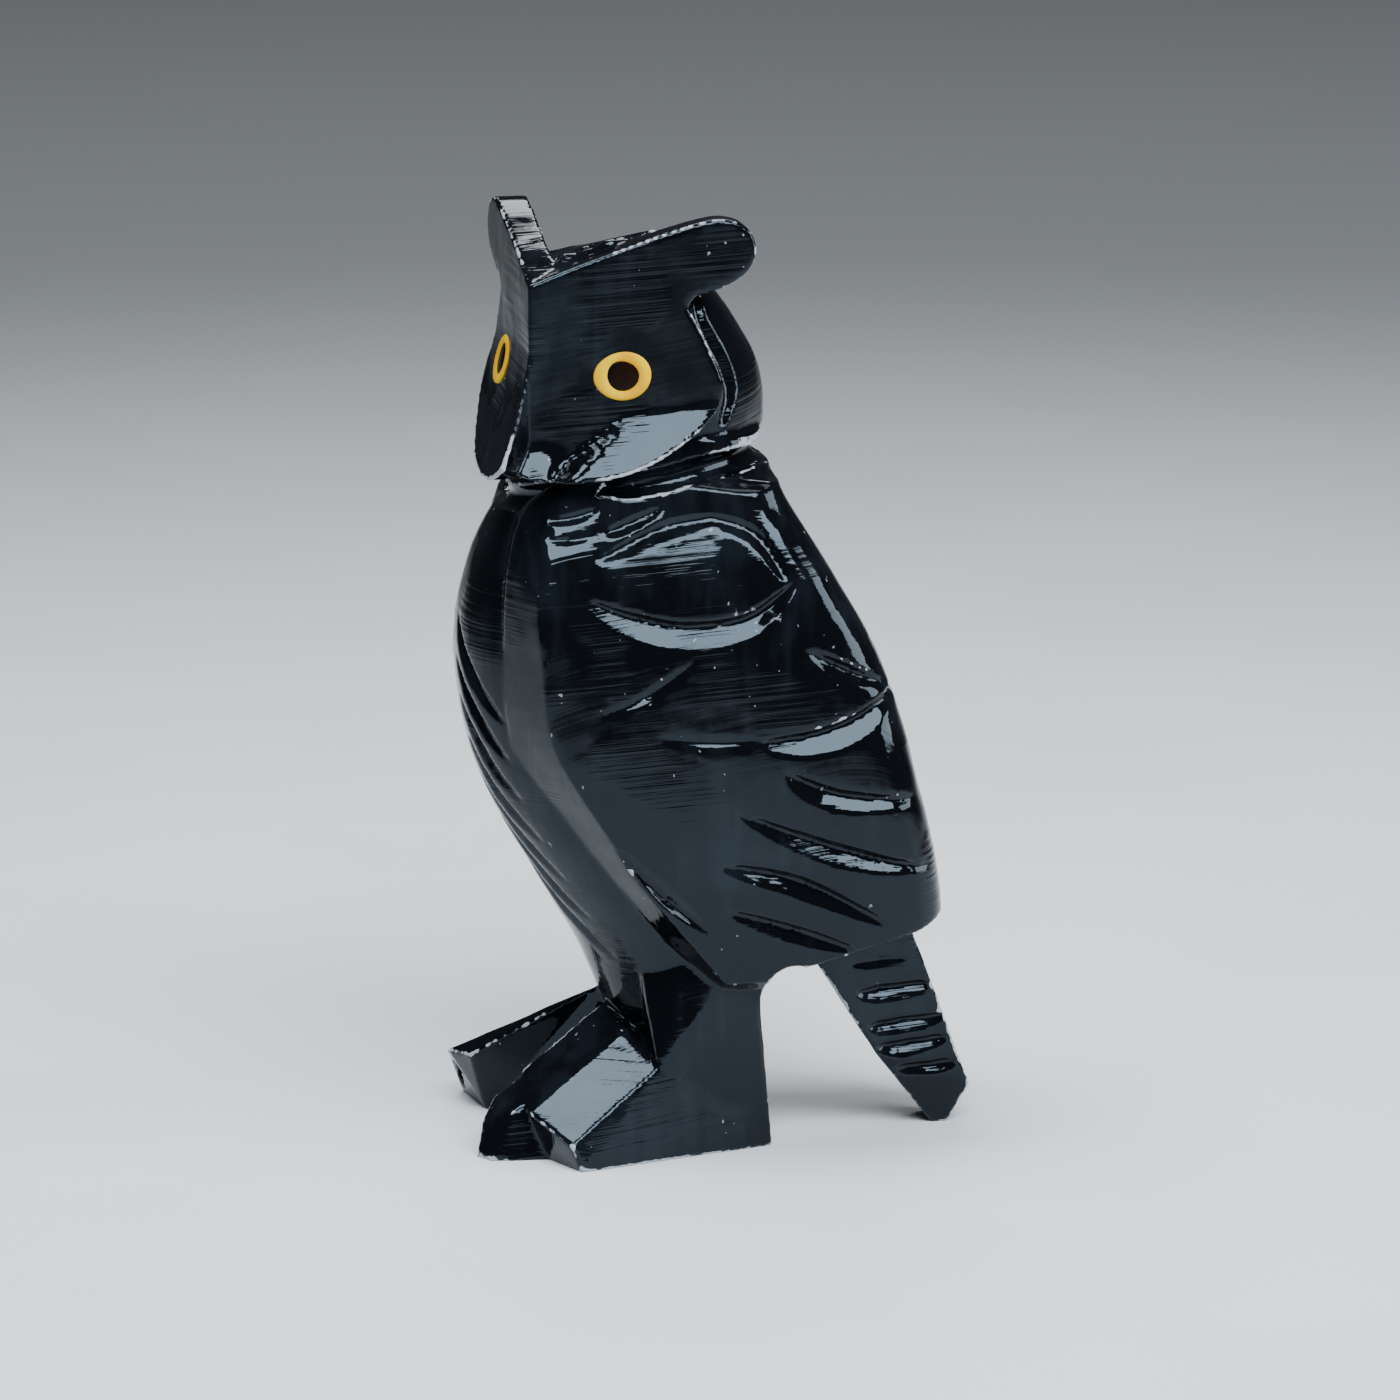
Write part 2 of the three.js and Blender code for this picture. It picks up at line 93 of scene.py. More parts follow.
# ------------------------------------------------------------------ the bench
def deselect() -> None:
    """Leaves nothing selected, so that an operator works only on what is chosen next."""
    for obj in list(bpy.context.selected_objects):
        obj.select_set(False)


def choose(obj: bpy.types.Object) -> None:
    """Selects one object alone and makes it the active one."""
    deselect()
    obj.select_set(True)
    bpy.context.view_layer.objects.active = obj


@contextmanager
def editing(obj: bpy.types.Object) -> Iterator[None]:
    """Holds an object in edit mode while the block runs."""
    choose(obj)
    bpy.ops.object.mode_set(mode="EDIT")
    try:
        yield
    finally:
        bpy.ops.object.mode_set(mode="OBJECT")


def face_out() -> None:
    """Turns the faces of the mesh that is being edited outwards."""
    bpy.ops.mesh.select_all(action="SELECT")
    bpy.ops.mesh.normals_make_consistent(inside=False)


def apply_modifier(obj: bpy.types.Object, kind: str, **settings: object) -> None:
    """Adds a modifier, sets it and applies it to the mesh.

    Args:
        obj: the object that it works on.
        kind: the modifier's type.
        settings: the modifier's own settings, by name.
    """
    modifier = obj.modifiers.new(kind.title(), kind)
    for name, value in settings.items():
        setattr(modifier, name, value)
    choose(obj)
    bpy.ops.object.modifier_apply(modifier=modifier.name)


def work(obj: bpy.types.Object, how: Join, tool: bpy.types.Object) -> bpy.types.Object:
    """Joins, cuts or trims a solid with another, which is used up.

    Returns:
        The first object, changed.
    """
    apply_modifier(obj, "BOOLEAN", operation=how.value, solver="MANIFOLD", object=tool)
    bpy.data.objects.remove(tool, do_unlink=True)
    return obj


def work_all(obj: bpy.types.Object, how: Join, tools: Sequence[bpy.types.Object]) -> bpy.types.Object:
    """Works a solid with several others, one after the other."""
    for tool in tools:
        work(obj, how, tool)
    return obj


def extruded(name: str, rings: Sequence[Ring]) -> bpy.types.Object:
    """A closed solid made by extruding a disc from one section to the next.

    Args:
        name: the object's name.
        rings: the sections in order, each with the same number of points.

    Returns:
        The new object, with its faces pointing out.
    """
    deselect()
    count = len(rings[0])
    bpy.ops.mesh.primitive_circle_add(vertices=count, fill_type="NGON")
    obj = bpy.context.object
    obj.name = name
    with editing(obj):
        bpy.ops.mesh.select_mode(type="FACE")
        bpy.ops.mesh.select_all(action="SELECT")
        shape = bmesh.from_edit_mesh(obj.data)
        shape.faces.ensure_lookup_table()
        order = {loop.vert: place for place, loop in enumerate(shape.faces[0].loops)}
        for vert, place in order.items():
            vert.co = rings[0][place]
        bmesh.update_edit_mesh(obj.data)
        for ring in rings[1:]:
            known = {vert.index: place for vert, place in order.items()}
            bpy.ops.mesh.extrude_region_move()
            shape = bmesh.from_edit_mesh(obj.data)
            order = {}
            for vert in [vert for vert in shape.verts if vert.select]:
                below = next(e.other_vert(vert) for e in vert.link_edges if not e.other_vert(vert).select)
                order[vert] = known[below.index]
                vert.co = ring[known[below.index]]
            shape.verts.index_update()
            bmesh.update_edit_mesh(obj.data)
        face_out()
    return obj


def hull(name: str, corners: Sequence[Sequence[float]]) -> bpy.types.Object:
    """A block with flat faces, ground so that its corners are these.

    Args:
        name: the object's name.
        corners: its corners, in any order.

    Returns:
        The new object.
    """
    deselect()
    bpy.ops.mesh.primitive_circle_add(vertices=max(len(corners), 3))
    obj = bpy.context.object
    obj.name = name
    for vert, corner in zip(obj.data.vertices, corners):
        vert.co = corner
    with editing(obj):
        bpy.ops.mesh.select_all(action="SELECT")
        bpy.ops.mesh.convex_hull()
        face_out()
    return obj


def moved(obj: bpy.types.Object, matrix: Matrix) -> bpy.types.Object:
    """Turns and moves a solid's mesh, keeping its faces outwards when it is mirrored."""
    obj.data.transform(matrix)
    if matrix.determinant() < 0:
        obj.data.flip_normals()
    return obj


def copied(obj: bpy.types.Object, name: str) -> bpy.types.Object:
    """A copy of an object with a mesh of its own."""
    twin = obj.copy()
    twin.data = obj.data.copy()
    twin.name = name
    bpy.context.collection.objects.link(twin)
    return twin


def curve_through(points: Sequence[Sequence[float]], steps: int, closed: bool = False) -> list[Vector]:
    """Points along a smooth curve through the given ones.

    Args:
        points: what the curve passes through, in order.
        steps: how many stretches each gap is cut into.
        closed: whether the last point joins the first.

    Returns:
        The points of the curve.
    """
    known = [Vector(point) for point in points]
    count = len(known)
    line = []
    for gap in range(count if closed else count - 1):
        corners = [known[(gap + k) % count] if closed else known[min(max(gap + k, 0), count - 1)]
                   for k in (-1, 0, 1, 2)]
        before, start, end, after = corners
        for step in range(steps):
            t = step / steps
            line.append(0.5 * (2 * start + (end - before) * t
                               + (2 * before - 5 * start + 4 * end - after) * t ** 2
                               + (3 * start - before - 3 * end + after) * t ** 3))
    if not closed:
        line.append(known[-1])
    return line


def clamped(value: float, top: float = 1.0) -> float:
    """A value kept between nothing and the top."""
    return min(max(value, 0.0), top)


def flat_curve(points: Sequence[Point2], steps: int) -> list[Point2]:
    """Points along a smooth curve through the given ones, in a flat view."""
    return [(p.x, p.y) for p in curve_through([(a, b, 0.0) for a, b in points], steps)]


def signed_power(base: float, exponent: float) -> float:
    """A power that keeps the sign of its base."""
    return math.copysign(abs(base) ** exponent, base)


def across_body(points: Sequence[Point2], x: float) -> Ring:
    """A section of the owl's side view, given as (y, z), at one place across the body."""
    return [Vector((x, y, z)) for y, z in points]


@dataclass(frozen=True)
class Section:
    """A level section of a block: how far it stands out at the front, back and sides, in mm."""

    z: float
    front: float
    back: float
    half: float


@dataclass(frozen=True)
class Squareness:
    """The power that rounds a section's front and back halves: 2 is an ellipse, more is squarer."""

    front: float
    back: float


def lofted(name: str, sections: Sequence[Section], square: Squareness, proud: float = 0.0,
           sides: int = 72, steps: int = 6) -> bpy.types.Object:
    """A smooth block through level sections.

    Args:
        name: the object's name.
        sections: its level sections, from the lowest up.
        square: how square the sections are.
        proud: how much wider it is than the sections say, in mm.
        sides: how many sides a section has.
        steps: how many rings lie between two sections.

    Returns:
        The new object.
    """
    stations = curve_through([(s.front, s.back, s.half) for s in sections], steps)
    heights = curve_through([(s.z, 0, 0) for s in sections], steps)
    rings = []
    for (front, back, half), height in zip(stations, heights):
        ring = []
        for side in range(sides):
            turn = math.tau * (side + 0.5) / sides
            power = 2 / (square.front if math.sin(turn) < 0 else square.back)
            x = (half + proud) * signed_power(math.cos(turn), power)
            y = (front + back + (back - front) * signed_power(math.sin(turn), power)) / 2
            ring.append(Vector((x, y, height.x)))
        rings.append(ring)
    return extruded(name, rings)


@dataclass(frozen=True)
class WheelCut:
    """One pass of a grinding wheel over a surface.

    Attributes:
        path: places the cut passes, in the flat view that it is drawn on, in mm.
        deep: its greatest depth.
        upper: how far its steeper wall reaches out to the left of the way it runs.
        lower: how far its other wall reaches out.
        fade: how slowly it comes in and out; a lower number stays deep for longer.
    """

    path: Sequence[Point2]
    deep: float
    upper: float
    lower: float
    fade: float = 0.8


def wheel_tool(name: str, cut: WheelCut, land: Callable[[Vector], tuple[Vector, Vector]],
               steps: int = 6) -> bpy.types.Object:
    """The space that a wheel sweeps as it dips into a surface and lifts out again.

    Args:
        name: the object's name.
        cut: the pass.
        land: finds the surface's point and normal for a place in the flat view.
        steps: how many stations lie between two places of the path.

    Returns:
        A solid to take away from the stone.
    """
    oversize = 1.7
    lift = 0.06
    least = 0.05
    line = curve_through([(a, b, 0.0) for a, b in cut.path], steps)
    landed = [land(place) for place in line]
    rings = []
    for i, (point, normal) in enumerate(landed):
        ahead = landed[min(i + 1, len(landed) - 1)][0] - landed[max(i - 1, 0)][0]
        aside = normal.cross(ahead).normalized()
        bite = max(math.sin(math.pi * i / (len(landed) - 1)), 0.0) ** cut.fade
        floor = point + normal * (lift - (cut.deep + lift) * bite)
        size = max(bite, least)
        rise = normal * cut.deep * size
        rings.append([floor,
                      floor + (aside * cut.upper * size + rise) * oversize,
                      floor + (rise - aside * cut.lower * size) * oversize])
    return extruded(name, rings)


def looking(obj: bpy.types.Object, towards: Vector, spot: Callable[[Vector], Vector],
            fallback: float = 8.0) -> Callable[[Vector], tuple[Vector, Vector]]:
    """A way to find a solid's surface under a place in a flat view.

    Args:
        obj: the solid.
        towards: the way the view looks.
        spot: where a place in the flat view lies, well outside the solid.
        fallback: how far along the view the surface is taken to lie where it is missed.

    Returns:
        A function from a place in the view to the surface's point and normal.
    """
    def land(place: Vector) -> tuple[Vector, Vector]:
        """Casts a ray at the solid."""
        start = spot(place)
        hit, point, normal, _ = obj.ray_cast(start, towards)
        if not hit:
            return start + towards * (start.length - fallback), -towards
        return point.copy(), normal.copy()

    return land


def side_sweeps(name: str, cuts: Sequence[WheelCut], solid: bpy.types.Object, side: Side,
                fallback: float = 8.0) -> list[bpy.types.Object]:
    """The sweeps of the cuts that one side of a solid has, drawn on the left and mirrored.

    Args:
        name: what the cuts are called.
        cuts: the passes of the wheel, as (y, z) on the side view.
        solid: the solid that they are cut into.
        side: which side they are for.
        fallback: as for looking.

    Returns:
        Solids to take away from the stone.
    """
    land = looking(solid, Vector((-1, 0, 0)), lambda at: Vector((FAR, at.x, at.y)), fallback)
    mirror = Matrix.Scale(side.value, 4, (1, 0, 0))
    return [moved(wheel_tool(f"{name}_{side.name}_{n}", cut, land), mirror) for n, cut in enumerate(cuts)]


# ------------------------------------------------------------------ torso and wings
@dataclass
class Torso:
    """The breast, belly and back, with the down cut into the breast."""

    sections: Sequence[Section] = (
        Section(6.5, -5.0, 8.0, 5.2),
        Section(10.5, -6.7, 11.8, 6.7),
        Section(14.5, -9.0, 12.0, 7.7),
        Section(20.0, -11.9, 10.8, 8.1),
        Section(26.0, -13.05, 9.0, 7.75),
        Section(31.0, -12.3, 6.3, 7.1),
        Section(35.0, -10.3, 3.9, 5.7),
        Section(38.0, -9.0, 3.0, 5.0),
    )
    square: Squareness = Squareness(2.4, 3.0)
    down_rows: int = 7
    down_top: float = 28.6
    down_pitch: float = 2.15
    down_drop: float = 5.6
    down_reach: float = 5.3
    down_narrowing: float = 0.12
    down_start: float = 0.4
    down_bend: float = 0.42
    down_wheel: Point3 = (0.42, 0.35, 0.75)

    def block(self) -> bpy.types.Object:
        """The torso before anything is cut into it."""
        return lofted("torso", self.sections, self.square)

    def down(self, skin: bpy.types.Object, side: Side) -> list[bpy.types.Object]:
        """Slanting cuts from the middle of the breast down to one wing.

        Args:
            skin: the solid that they are cut into.
            side: which half of the breast.

        Returns:
            The wheels' sweeps.
        """
        land = looking(skin, Vector((0, 1, 0)), lambda at: Vector((at.x, -FAR, at.y)))
        tools = []
        for row in range(self.down_rows):
            top = self.down_top - row * self.down_pitch
            reach = self.down_reach - self.down_narrowing * row
            path = [(side.value * self.down_start, top),
                    (side.value * reach * 0.5, top - self.down_drop * self.down_bend),
                    (side.value * reach, top - self.down_drop)]
            cut = WheelCut(path if side is Side.LEFT else path[::-1], *self.down_wheel)
            tools.append(wheel_tool(f"down_{side.name}_{row}", cut, land))
        return tools


@dataclass
class Wings:
    """Both wings: blocks that stand proud of the torso, with feathers cut into their faces.

    Attributes:
        proud: how far they stand out from the torso, in mm.
        inner: how far from the axis the slope along their outline starts.
        slope_deep: how far out that slope runs, with its run back in slope_along.
        hem: what is cut away under their tips.
    """

    proud: float = 0.76
    square: Squareness = Squareness(5.5, 6.5)
    inner: float = 5.3
    slope_deep: float = 5.0
    slope_along: float = 2.9
    front_edge: Sequence[Point2] = ((-6.0, 37.0), (-9.6, 35.0), (-10.9, 31.0), (-11.0, 26.6),
                                    (-10.6, 22.1), (-8.1, 17.5), (-4.2, 12.4), (0.0, 8.4))
    far_edge: Sequence[Point2] = ((9.0, 8.6), (17.0, 10.2), (17.0, 26.0), (6.0, 35.4))
    hem: Sequence[Point2] = ((4.6, 10.2), (7.4, 11.1), (10.7, 12.1), (20.0, 17.0), (20.0, 0.0), (4.6, 0.0))
    feathers: Sequence[WheelCut] = (
        WheelCut(((-6.7, 32.2), (-3.0, 33.9), (0.3, 34.4)), 0.3, 0.25, 0.9, 0.5),
        WheelCut(((-0.9, 34.5), (2.0, 33.5), (3.7, 30.8)), 0.32, 0.25, 0.85, 0.5),
        WheelCut(((-7.0, 30.4), (-4.7, 29.5), (-1.8, 28.9), (1.4, 29.3), (4.1, 31.2)), 0.58, 0.22, 1.4, 0.5),
        WheelCut(((-6.9, 24.1), (-3.9, 25.3), (-0.9, 27.4)), 0.22, 0.25, 0.3),
        WheelCut(((4.3, 27.5), (6.4, 26.5), (9.0, 25.3)), 0.5, 0.3, 0.8),
        WheelCut(((-3.6, 23.1), (-0.6, 22.8), (2.6, 22.8)), 0.22, 0.22, 0.3, 0.5),
        WheelCut(((1.8, 22.8), (4.4, 23.0), (7.0, 23.8), (9.4, 25.2)), 0.62, 0.2, 1.25, 0.5),
        WheelCut(((3.1, 21.2), (6.0, 19.9), (10.4, 19.3)), 0.55, 0.3, 1.0),
        WheelCut(((0.4, 19.2), (4.4, 17.5), (8.0, 16.3), (11.4, 15.6)), 0.6, 0.35, 0.95),
        WheelCut(((-0.5, 16.3), (4.2, 15.1), (9.4, 12.3)), 0.6, 0.35, 0.9),
        WheelCut(((-0.3, 13.9), (4.2, 12.3), (7.8, 11.0)), 0.55, 0.35, 0.8),
        WheelCut(((-6.0, 17.6), (-3.4, 14.7), (-0.4, 12.2)), 0.5, 0.9, 0.35),
        WheelCut(((-9.9, 33.9), (-9.7, 32.2), (-9.5, 30.6)), 0.5, 0.7, 0.9, 0.5),
        WheelCut(((-8.9, 34.3), (-7.5, 34.5), (-6.1, 34.9)), 0.22, 0.2, 0.45, 0.4),
        WheelCut(((-9.0, 33.3), (-7.7, 33.4), (-6.4, 33.6)), 0.22, 0.12, 0.3, 0.4),
        WheelCut(((-6.2, 33.6), (-4.6, 34.2), (-2.8, 34.9)), 0.3, 0.2, 0.7, 0.5),
    )

    def skin(self, torso: Torso) -> bpy.types.Object:
        """The larger torso that the wings are trimmed from."""
        return lofted("wing_skin", torso.sections, self.square, self.proud)

    def block(self, side: Side) -> bpy.types.Object:
        """One wing's block: its outline, sloping in towards the outer face."""
        outline = [*flat_curve(self.front_edge, 4), *self.far_edge]
        block = extruded(f"wing_{side.name}", [across_body(outline, 0.0), across_body(outline, self.inner)])
        with editing(block):
            bpy.ops.mesh.select_mode(type="FACE")
            bpy.ops.mesh.select_all(action="DESELECT")
            shape = bmesh.from_edit_mesh(block.data)
            outer = max(shape.faces, key=lambda face: face.calc_center_median().x)
            outer.select = True
            bmesh.update_edit_mesh(block.data)
            bpy.ops.mesh.inset(thickness=self.slope_along, depth=self.slope_deep)
        return moved(block, Matrix.Scale(side.value, 4, (1, 0, 0)))

    def cuts(self, skin: bpy.types.Object, side: Side) -> list[bpy.types.Object]:
        """The feathers of one wing, as the wheels' sweeps."""
        return side_sweeps("feather", self.feathers, skin, side)


# ------------------------------------------------------------------ head
@dataclass(frozen=True)
class NeckGroove:
    """A groove round the neck: where its middle runs, and the radius of the wheel that cuts it."""

    low: float = 34.75
    rise: float = 2.35
    front: float = -10.8
    back: float = 3.3
    half: float = 5.75
    size: float = 0.75


@dataclass(frozen=True)
class Dish:
    """How the lower part of one facet leans out, with the beak's own lean beside the ridge.

    Attributes:
        crease: the height at the ridge where the lean starts.
        climb: how much the crease rises in each mm away from the ridge.
        reach: how far under the crease the lean is full.
        out: how far the facet then stands out.
        power: how the lean grows on its way down, where 1 is straight.
        edge: how far from the ridge the lean's front end crosses the crease's height, and how
            far that end moves back in each mm that it climbs.
        steep: how steeply the lean drops at its front end.
        beak_top: the height where the beak's lean starts.
        beak_reach: how far under that it is full.
        beak_out: how far the beak then stands out.
        beak_power: how its lean grows on its way down.
        beak_end: how far from the ridge the beak starts to fade, and where it is gone.
        most: the greatest share of its reach that a lean is taken over.
    """

    crease: float
    climb: float
    reach: float
    out: float
    power: float
    edge: Point2
    steep: float
    beak_top: float = 38.3
    beak_reach: float = 1.9
    beak_out: float = 1.0
    beak_power: float = 1.4
    beak_end: Point2 = (0.5, 2.3)
    most: float = 1.3

    def out_at(self, along: float, z: float) -> float:
        """How far the facet stands out at a place on it."""
        below = clamped((self.crease + self.climb * along - z) / self.reach, self.most)
        lean = self.out * below ** self.power
        past = along - self.edge[0] - self.edge[1] * (z - self.crease)
        lean = min(lean, self.steep * max(past, 0.0))
        near, far = self.beak_end
        share = clamped((far - along) / (far - near))
        under = clamped((self.beak_top - z) / self.beak_reach, self.most)
        return max(lean, self.beak_out * under ** self.beak_power * share * share * (3 - 2 * share))


@dataclass
class Head:
    """The skull and the two-faceted mask, turned on the neck."""

    neck: Point2 = (0.0, -4.0)
    turn: float = math.radians(47)
    facet_angle: float = math.radians(43)
    ridge_reach: float = 8.4
    thick: float = 1.75
    near_dish: Dish = Dish(39.2, 0.1, 3.6, 1.9, 1.1, (4.7, 1.3), 2.6)
    far_dish: Dish = Dish(43.0, 0.0, 5.6, 1.75, 1.4, (-4.0, 0.0), 9.0)
    jaw: Sequence[Point2] = ((-1.6, 37.2), (0.4, 36.4), (4.8, 36.7), (8.4, 38.5), (10.1, 40.5),
                             (9.4, 43.0), (8.25, 45.2))
    ear: Sequence[Point2] = ((8.6, 45.75), (10.2, 46.2), (11.4, 47.0), (11.85, 48.1), (11.4, 49.2),
                             (10.2, 49.7), (8.4, 49.45), (3.8, 47.95), (0.0, 46.5))
    past_ridge: Sequence[Point2] = ((-3.5, 37.4), (-3.5, 46.5))
    dish_heights: Point2 = (52.0, 33.0)
    dish_along: Point2 = (-5.0, 15.0)
    skull_sections: Sequence[Section] = (
        Section(33.5, -4.6, 5.4, 4.4),
        Section(36.0, -6.0, 7.3, 5.8),
        Section(38.5, -7.4, 8.1, 6.4),
        Section(41.5, -7.7, 7.5, 6.2),
        Section(45.0, -7.5, 5.0, 5.0),
        Section(46.2, -7.3, 3.6, 4.2),
    )
    skull_square: Squareness = Squareness(1.3, 2.2)
    groove: NeckGroove = NeckGroove()
    crown: Sequence[Point3] = ((0, 1.0, 46.2), (0, 3.2, 47.9), (0, 7.4, 45.0), (2.2, 4.8, 48.6),
                               (3.6, 6.4, 49.0), (4.4, 5.4, 45.0), (-3.6, 6.4, 47.2), (-4.4, 5.4, 45.0))
    coves: Sequence[WheelCut] = (
        WheelCut(((9.0, 46.4), (9.2, 44.3), (10.2, 42.3), (10.8, 40.4), (10.2, 38.6)),
                 0.55, 0.75, 0.75, 0.35),
    )
    dabs: Sequence[WheelCut] = (
        WheelCut(((1.6, 2.9), (3.0, 2.4), (4.2, 2.3)), 0.22, 0.5, 0.8, 0.5),
        WheelCut(((4.0, 2.9), (5.2, 2.5), (6.6, 2.2)), 0.22, 0.5, 0.8, 0.5),
    )

    def place(self) -> Matrix:
        """Where the turned head stands."""
        return Matrix.Translation((*self.neck, 0)) @ Matrix.Rotation(self.turn, 4, "Z")

    def facet_place(self, side: Side) -> Matrix:
        """A facet's own frame: X along it from the ridge, Y into it, Z up."""
        return (Matrix.Translation((0, -self.ridge_reach, 0)) @ Matrix.Scale(side.value, 4, (1, 0, 0))
                @ Matrix.Rotation(self.facet_angle, 4, "Z"))

    def dish_of(self, side: Side) -> Dish:
        """The lean of one side's facet."""
        return self.near_dish if side is Side.LEFT else self.far_dish

    def dish(self, side: Side) -> bpy.types.Object:
        """The solid behind the facet's dished front, in the facet's frame."""
        lean = self.dish_of(side)
        (top, bottom), (start, end), rows, columns = self.dish_heights, self.dish_along, 76, 48
        heights = [top + (bottom - top) * row / rows for row in range(rows + 1)]
        rings = []
        for column in range(columns + 1):
            along = start + (end - start) * column / columns
            rings.append([Vector((along, -lean.out_at(along, z), z)) for z in heights]
                         + [Vector((along, self.thick, bottom)), Vector((along, self.thick, top))])
        return extruded("dish", rings)

    def facet(self, side: Side) -> bpy.types.Object:
        """One facet of the mask with its ear, on the unturned head."""
        low, high = self.past_ridge
        outline = [low, *flat_curve(self.jaw, 5), *flat_curve(self.ear, 5), high]
        front = -2 * self.dish_of(side).out
        rings = [[Vector((a, y, z)) for a, z in outline] for y in (front, self.thick + LAP)]
        plate = work(extruded(f"facet_{side.name}", rings), Join.KEEP_COMMON, self.dish(side))
        moved(plate, self.facet_place(side))
        with editing(plate):
            bpy.ops.mesh.select_all(action="SELECT")
            bpy.ops.mesh.bisect(plane_co=(-LAP * side.value, 0, 0), plane_no=(-side.value, 0, 0),
                                use_fill=True, clear_outer=True)
        return plate

    def saddle(self) -> bpy.types.Object:
        """The crown between the ears, which rises behind the ridge."""
        return hull("crown", [(x, y - self.ridge_reach, z) for x, y, z in self.crown])

    def cuts(self, head: bpy.types.Object, side: Side) -> list[bpy.types.Object]:
        """The cove behind one facet's edge and the dabs on the crown, on the unturned head."""
        place = self.facet_place(side)
        towards = (place.to_3x3() @ Vector((0, 1, 0))).normalized()
        behind = looking(head, towards, lambda at: place @ Vector((at.x, -FAR, at.y)))
        above = looking(head, Vector((0, 0, -1)), lambda at: place @ Vector((at.x, at.y, 2 * FAR)))
        tools = [wheel_tool(f"cove_{side.name}_{n}", cut, behind) for n, cut in enumerate(self.coves)]
        tools += [wheel_tool(f"dab_{side.name}_{n}", cut, above) for n, cut in enumerate(self.dabs)]
        return tools

    def block(self) -> bpy.types.Object:
        """The whole head, turned and in place."""
        skull = work(lofted("head", self.skull_sections, self.skull_square), Join.ADD, self.saddle())
        for side in Side:
            work(skull, Join.ADD, self.facet(side))
        shape = copied(skull, "head_shape")
        for side in Side:
            work_all(skull, Join.CUT, self.cuts(shape, side))
        bpy.data.objects.remove(shape, do_unlink=True)
        return moved(skull, self.place())

    def neck_cut(self) -> bpy.types.Object:
        """The round-edged groove under the mask's jaw, tipped up towards the back."""
        groove = self.groove
        steps, sides = 64, 12
        rings = []
        for step in range(steps):
            turn = math.tau * step / steps
            back = 0.5 + 0.5 * math.sin(turn)
            out = Vector((math.cos(turn), math.sin(turn), 0.0))
            centre = Vector((groove.half * out.x, (groove.back + groove.front) / 2
                             + (groove.back - groove.front) / 2 * out.y, groove.low + groove.rise * back))
            rings.append([centre + groove.size * (out * math.cos(a) + Vector((0, 0, math.sin(a))))
                          for a in (math.tau * k / sides for k in range(sides))])
        return closed_loop("neck_groove", rings)


def closed_loop(name: str, rings: Sequence[Ring]) -> bpy.types.Object:
    """A solid ring: sections extruded on round until the last joins the first."""
    obj = extruded(name, [*rings, rings[0]])
    with editing(obj):
        bpy.ops.mesh.select_mode(type="FACE")
        bpy.ops.mesh.select_all(action="DESELECT")
        shape = bmesh.from_edit_mesh(obj.data)
        for face in shape.faces:
            face.select = len(face.verts) != 4
        bmesh.update_edit_mesh(obj.data)
        bpy.ops.mesh.delete(type="ONLY_FACE")
        bpy.ops.mesh.select_all(action="SELECT")
        bpy.ops.mesh.remove_doubles(threshold=0.001)
        face_out()
    return obj


